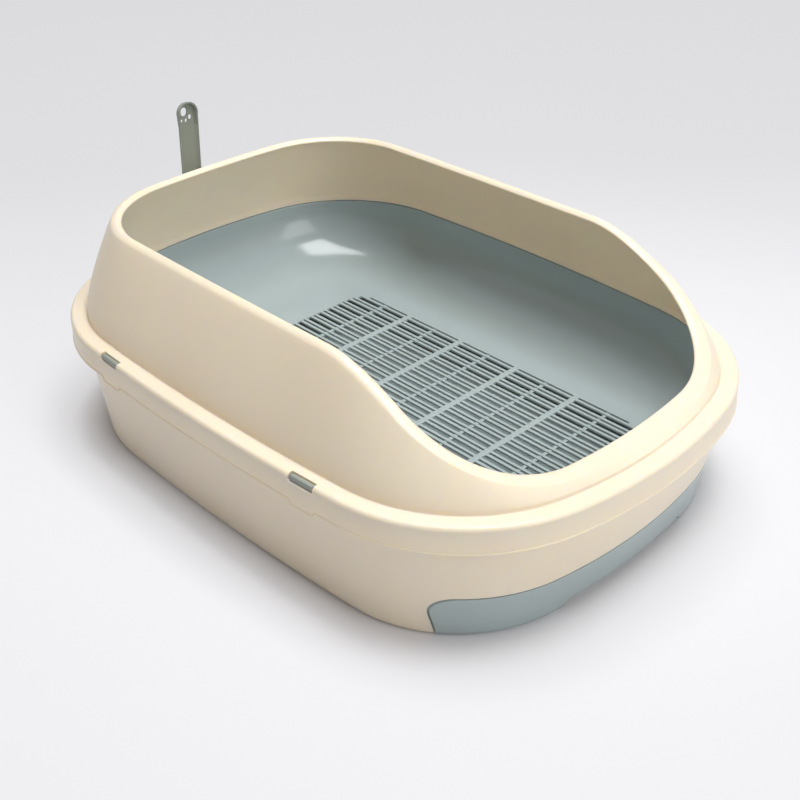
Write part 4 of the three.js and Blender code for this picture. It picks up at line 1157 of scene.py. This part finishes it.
# name, place and target in metres, size in metres, power in watts
LAMPS = (("Overhead softbox", (0.1, -0.17, 1.5), (0.1, -0.17, 0), (0.55, 1.1), 19),
         ("High softbox", (0.4, 0.5, 2.2), (0, 0, 0.05), (1.6, 1.6), 5),
         ("Front softbox", (0.18, -2.15, 1.2), (0, 0, 0.05), (1.4, 1.4), 17))
# the camera's right, up and back directions, and its place in metres
CAMERA_AXES = ((0.72090578, -0.69283241, -0.01667675), (0.38573051, 0.38113609, 0.84020667),
               (-0.5757663, -0.61214258, 0.54200981))
CAMERA_PLACE = (-0.5798, -0.6258, 0.5836)
CAMERA_LENS = 52.32


def painted_light_share(tree, place):
    """Share of painted light, an emission that lightens the board's shadow: none at the tub's foot,
    over half of it a finger's width out and nearly nine tenths far away, by the distance from a
    rounded rectangle, |max(|p| - b, 0)| - r."""
    size = vector_maths(tree, "ABSOLUTE", vector_maths(tree, "MULTIPLY", place, (1, 1, 0)))
    flat = (FLOOR["half"] - FOOT_CORNER, FLOOR["back"] - FOOT_CORNER, 0)
    past = vector_maths(tree, "SUBTRACT", size, [v * MM for v in flat])
    away = vector_maths(tree, "LENGTH", vector_maths(tree, "MAXIMUM", past))
    near, far = (map_range(tree, away, [(FOOT_CORNER + d) * MM for d in reach], (0.0, share))
                 for reach, share in PAINTED_LIGHT_SHARES)
    return maths(tree, "ADD", near, far)


def multiplied(tree, first, second):
    """Product of two colours."""
    n = node(tree, "ShaderNodeMix", {"data_type": "RGBA", "blend_type": "MULTIPLY",
                                     0: 1.0, 6: first, 7: second})
    return n.outputs[2]


def floor_material():
    """Matt white seamless studio board: even and slightly cool, with no gloss, and greyer where it
    runs away to the back, a painted shade in place of the lamps' fall-off. Seen straight or in a
    reflection, part of its shadow is lightened by painted light, an emission mixed into it."""
    mat = bpy.data.materials.new("Matt white studio board")
    tree = new_tree(mat)
    place = node(tree, "ShaderNodeTexCoord").outputs["Object"]
    fibre = noise(tree, place, {"Scale": 3.0, "Detail": 2.0})
    colour = multiplied(tree, (*linear(BOARD_COLOUR), 1), map_range(tree, fibre, (0.0, 1.0), (0.985, 1.0)))
    # painted shade: the board's colour greys towards the back, in place of the lamps' light falling off
    away = vector_maths(tree, "DOT_PRODUCT", place, (0.68, 0.73, 0.0))
    board = multiplied(tree, colour, map_range(tree, away, (0.1, 0.7), (1.0, 0.88), "SMOOTHSTEP"))
    matt = node(tree, "ShaderNodeBsdfDiffuse", {"Roughness": 0.6, "Color": board})
    # painted light: an emission in the board's colour, mixed in for seen rays by the share below, lightens
    # the board's shadow away from the tub's foot
    even = node(tree, "ShaderNodeEmission", {"Strength": 1.0, "Color": board})
    share = maths(tree, "MULTIPLY", seen_ray(tree), painted_light_share(tree, place))
    mixed = mixed_shaders(tree, share, matt.outputs["BSDF"], even.outputs["Emission"])
    node(tree, "ShaderNodeOutputMaterial", {"Surface": mixed})
    return mat


def studio_air():
    """A plain pale world that is seen at one brightness and lights the object at a lower one."""
    world = bpy.data.worlds.new("Studio air")
    tree = new_tree(world)
    light, seen = (node(tree, "ShaderNodeBackground", {"Strength": strength, "Color": (*linear(colour), 1)})
                   for strength, colour in ((LIGHT_STRENGTH, LIGHT_AIR), (SEEN_STRENGTH, SEEN_AIR)))
    mixed = mixed_shaders(tree, seen_ray(tree), light.outputs["Background"], seen.outputs["Background"])
    node(tree, "ShaderNodeOutputWorld", {"Surface": mixed})
    return world


def put(obj, x, y, z, where):
    """Links an object to the scene with the given axes and place."""
    m = np.eye(4)
    m[:3] = np.column_stack([x, y, z, where])
    obj.matrix_world = Matrix(m.tolist())
    bpy.context.scene.collection.objects.link(obj)
    return obj


def lamp(name, where, target, size, power):
    """An area lamp that looks at a point."""
    data = bpy.data.lights.new(name, "AREA")
    data.shape = "RECTANGLE"
    data.size, data.size_y = size
    data.energy = power
    z = np.array(where, float) - np.array(target, float)
    z /= np.linalg.norm(z)
    up = np.array([0, 0, 1.0]) if abs(z[2]) < 0.99 else np.array([0, 1.0, 0])
    x = np.cross(up, z)
    x /= np.linalg.norm(x)
    return put(bpy.data.objects.new(name, data), x, np.cross(z, x), z, where)


class LITTERBOX_OT_stage(bpy.types.Operator):
    """Builds the floor, the soft lamps and the camera"""
    bl_idname = "litterbox.stage"
    bl_label = "Studio"

    def execute(self, context):
        scene = context.scene
        half = scene.litter_box_sizes.floor_size / 2 / MM
        t = np.linspace(-half, half, 9)
        gx, gy = np.meshgrid(t, t, indexing="ij")
        verts = np.stack([gx, gy, np.full(gx.shape, -0.2)], axis=-1).reshape(-1, 3)
        floor = make_object("studio_floor", verts, grid_faces(len(t), len(t), False, False)[:, ::-1])
        floor.data.materials.append(floor_material())
        scene.world = studio_air()
        for values in LAMPS:
            lamp(*values)
        data = bpy.data.cameras.new("Camera")
        data.sensor_width = 36.0
        data.lens = CAMERA_LENS
        data.clip_end = 50.0
        scene.camera = put(bpy.data.objects.new("Camera", data), *CAMERA_AXES, CAMERA_PLACE)
        scene.view_settings.view_transform = "Standard"
        return {"FINISHED"}


class LITTERBOX_PT_panel(bpy.types.Panel):
    """Lists the builders of the litter box"""
    bl_label = "Litter Box"
    bl_space_type = "VIEW_3D"
    bl_region_type = "UI"
    bl_category = "Litter Box"

    def draw(self, context):
        for op in OPERATORS:
            self.layout.operator(op.bl_idname)
        for group in (context.scene.litter_box_sizes, context.scene.litter_box_colours):
            for key in type(group).__annotations__:
                self.layout.prop(group, key)


OPERATORS = (LITTERBOX_OT_tub, LITTERBOX_OT_guard, LITTERBOX_OT_pan, LITTERBOX_OT_drawer,
             LITTERBOX_OT_clips, LITTERBOX_OT_scoop, LITTERBOX_OT_stage)
CLASSES = (LitterBoxSizes, LitterBoxColours) + OPERATORS + (LITTERBOX_PT_panel,)


def register():
    for c in CLASSES:
        bpy.utils.register_class(c)
    bpy.types.Scene.litter_box_sizes = bpy.props.PointerProperty(type=LitterBoxSizes)
    bpy.types.Scene.litter_box_colours = bpy.props.PointerProperty(type=LitterBoxColours)


def unregister():
    del bpy.types.Scene.litter_box_sizes
    del bpy.types.Scene.litter_box_colours
    for c in reversed(CLASSES):
        bpy.utils.unregister_class(c)


def main():
    register()
    for op in OPERATORS:
        group, name = op.bl_idname.split(".")
        getattr(getattr(bpy.ops, group), name)()


if __name__ == "__main__":
    main()
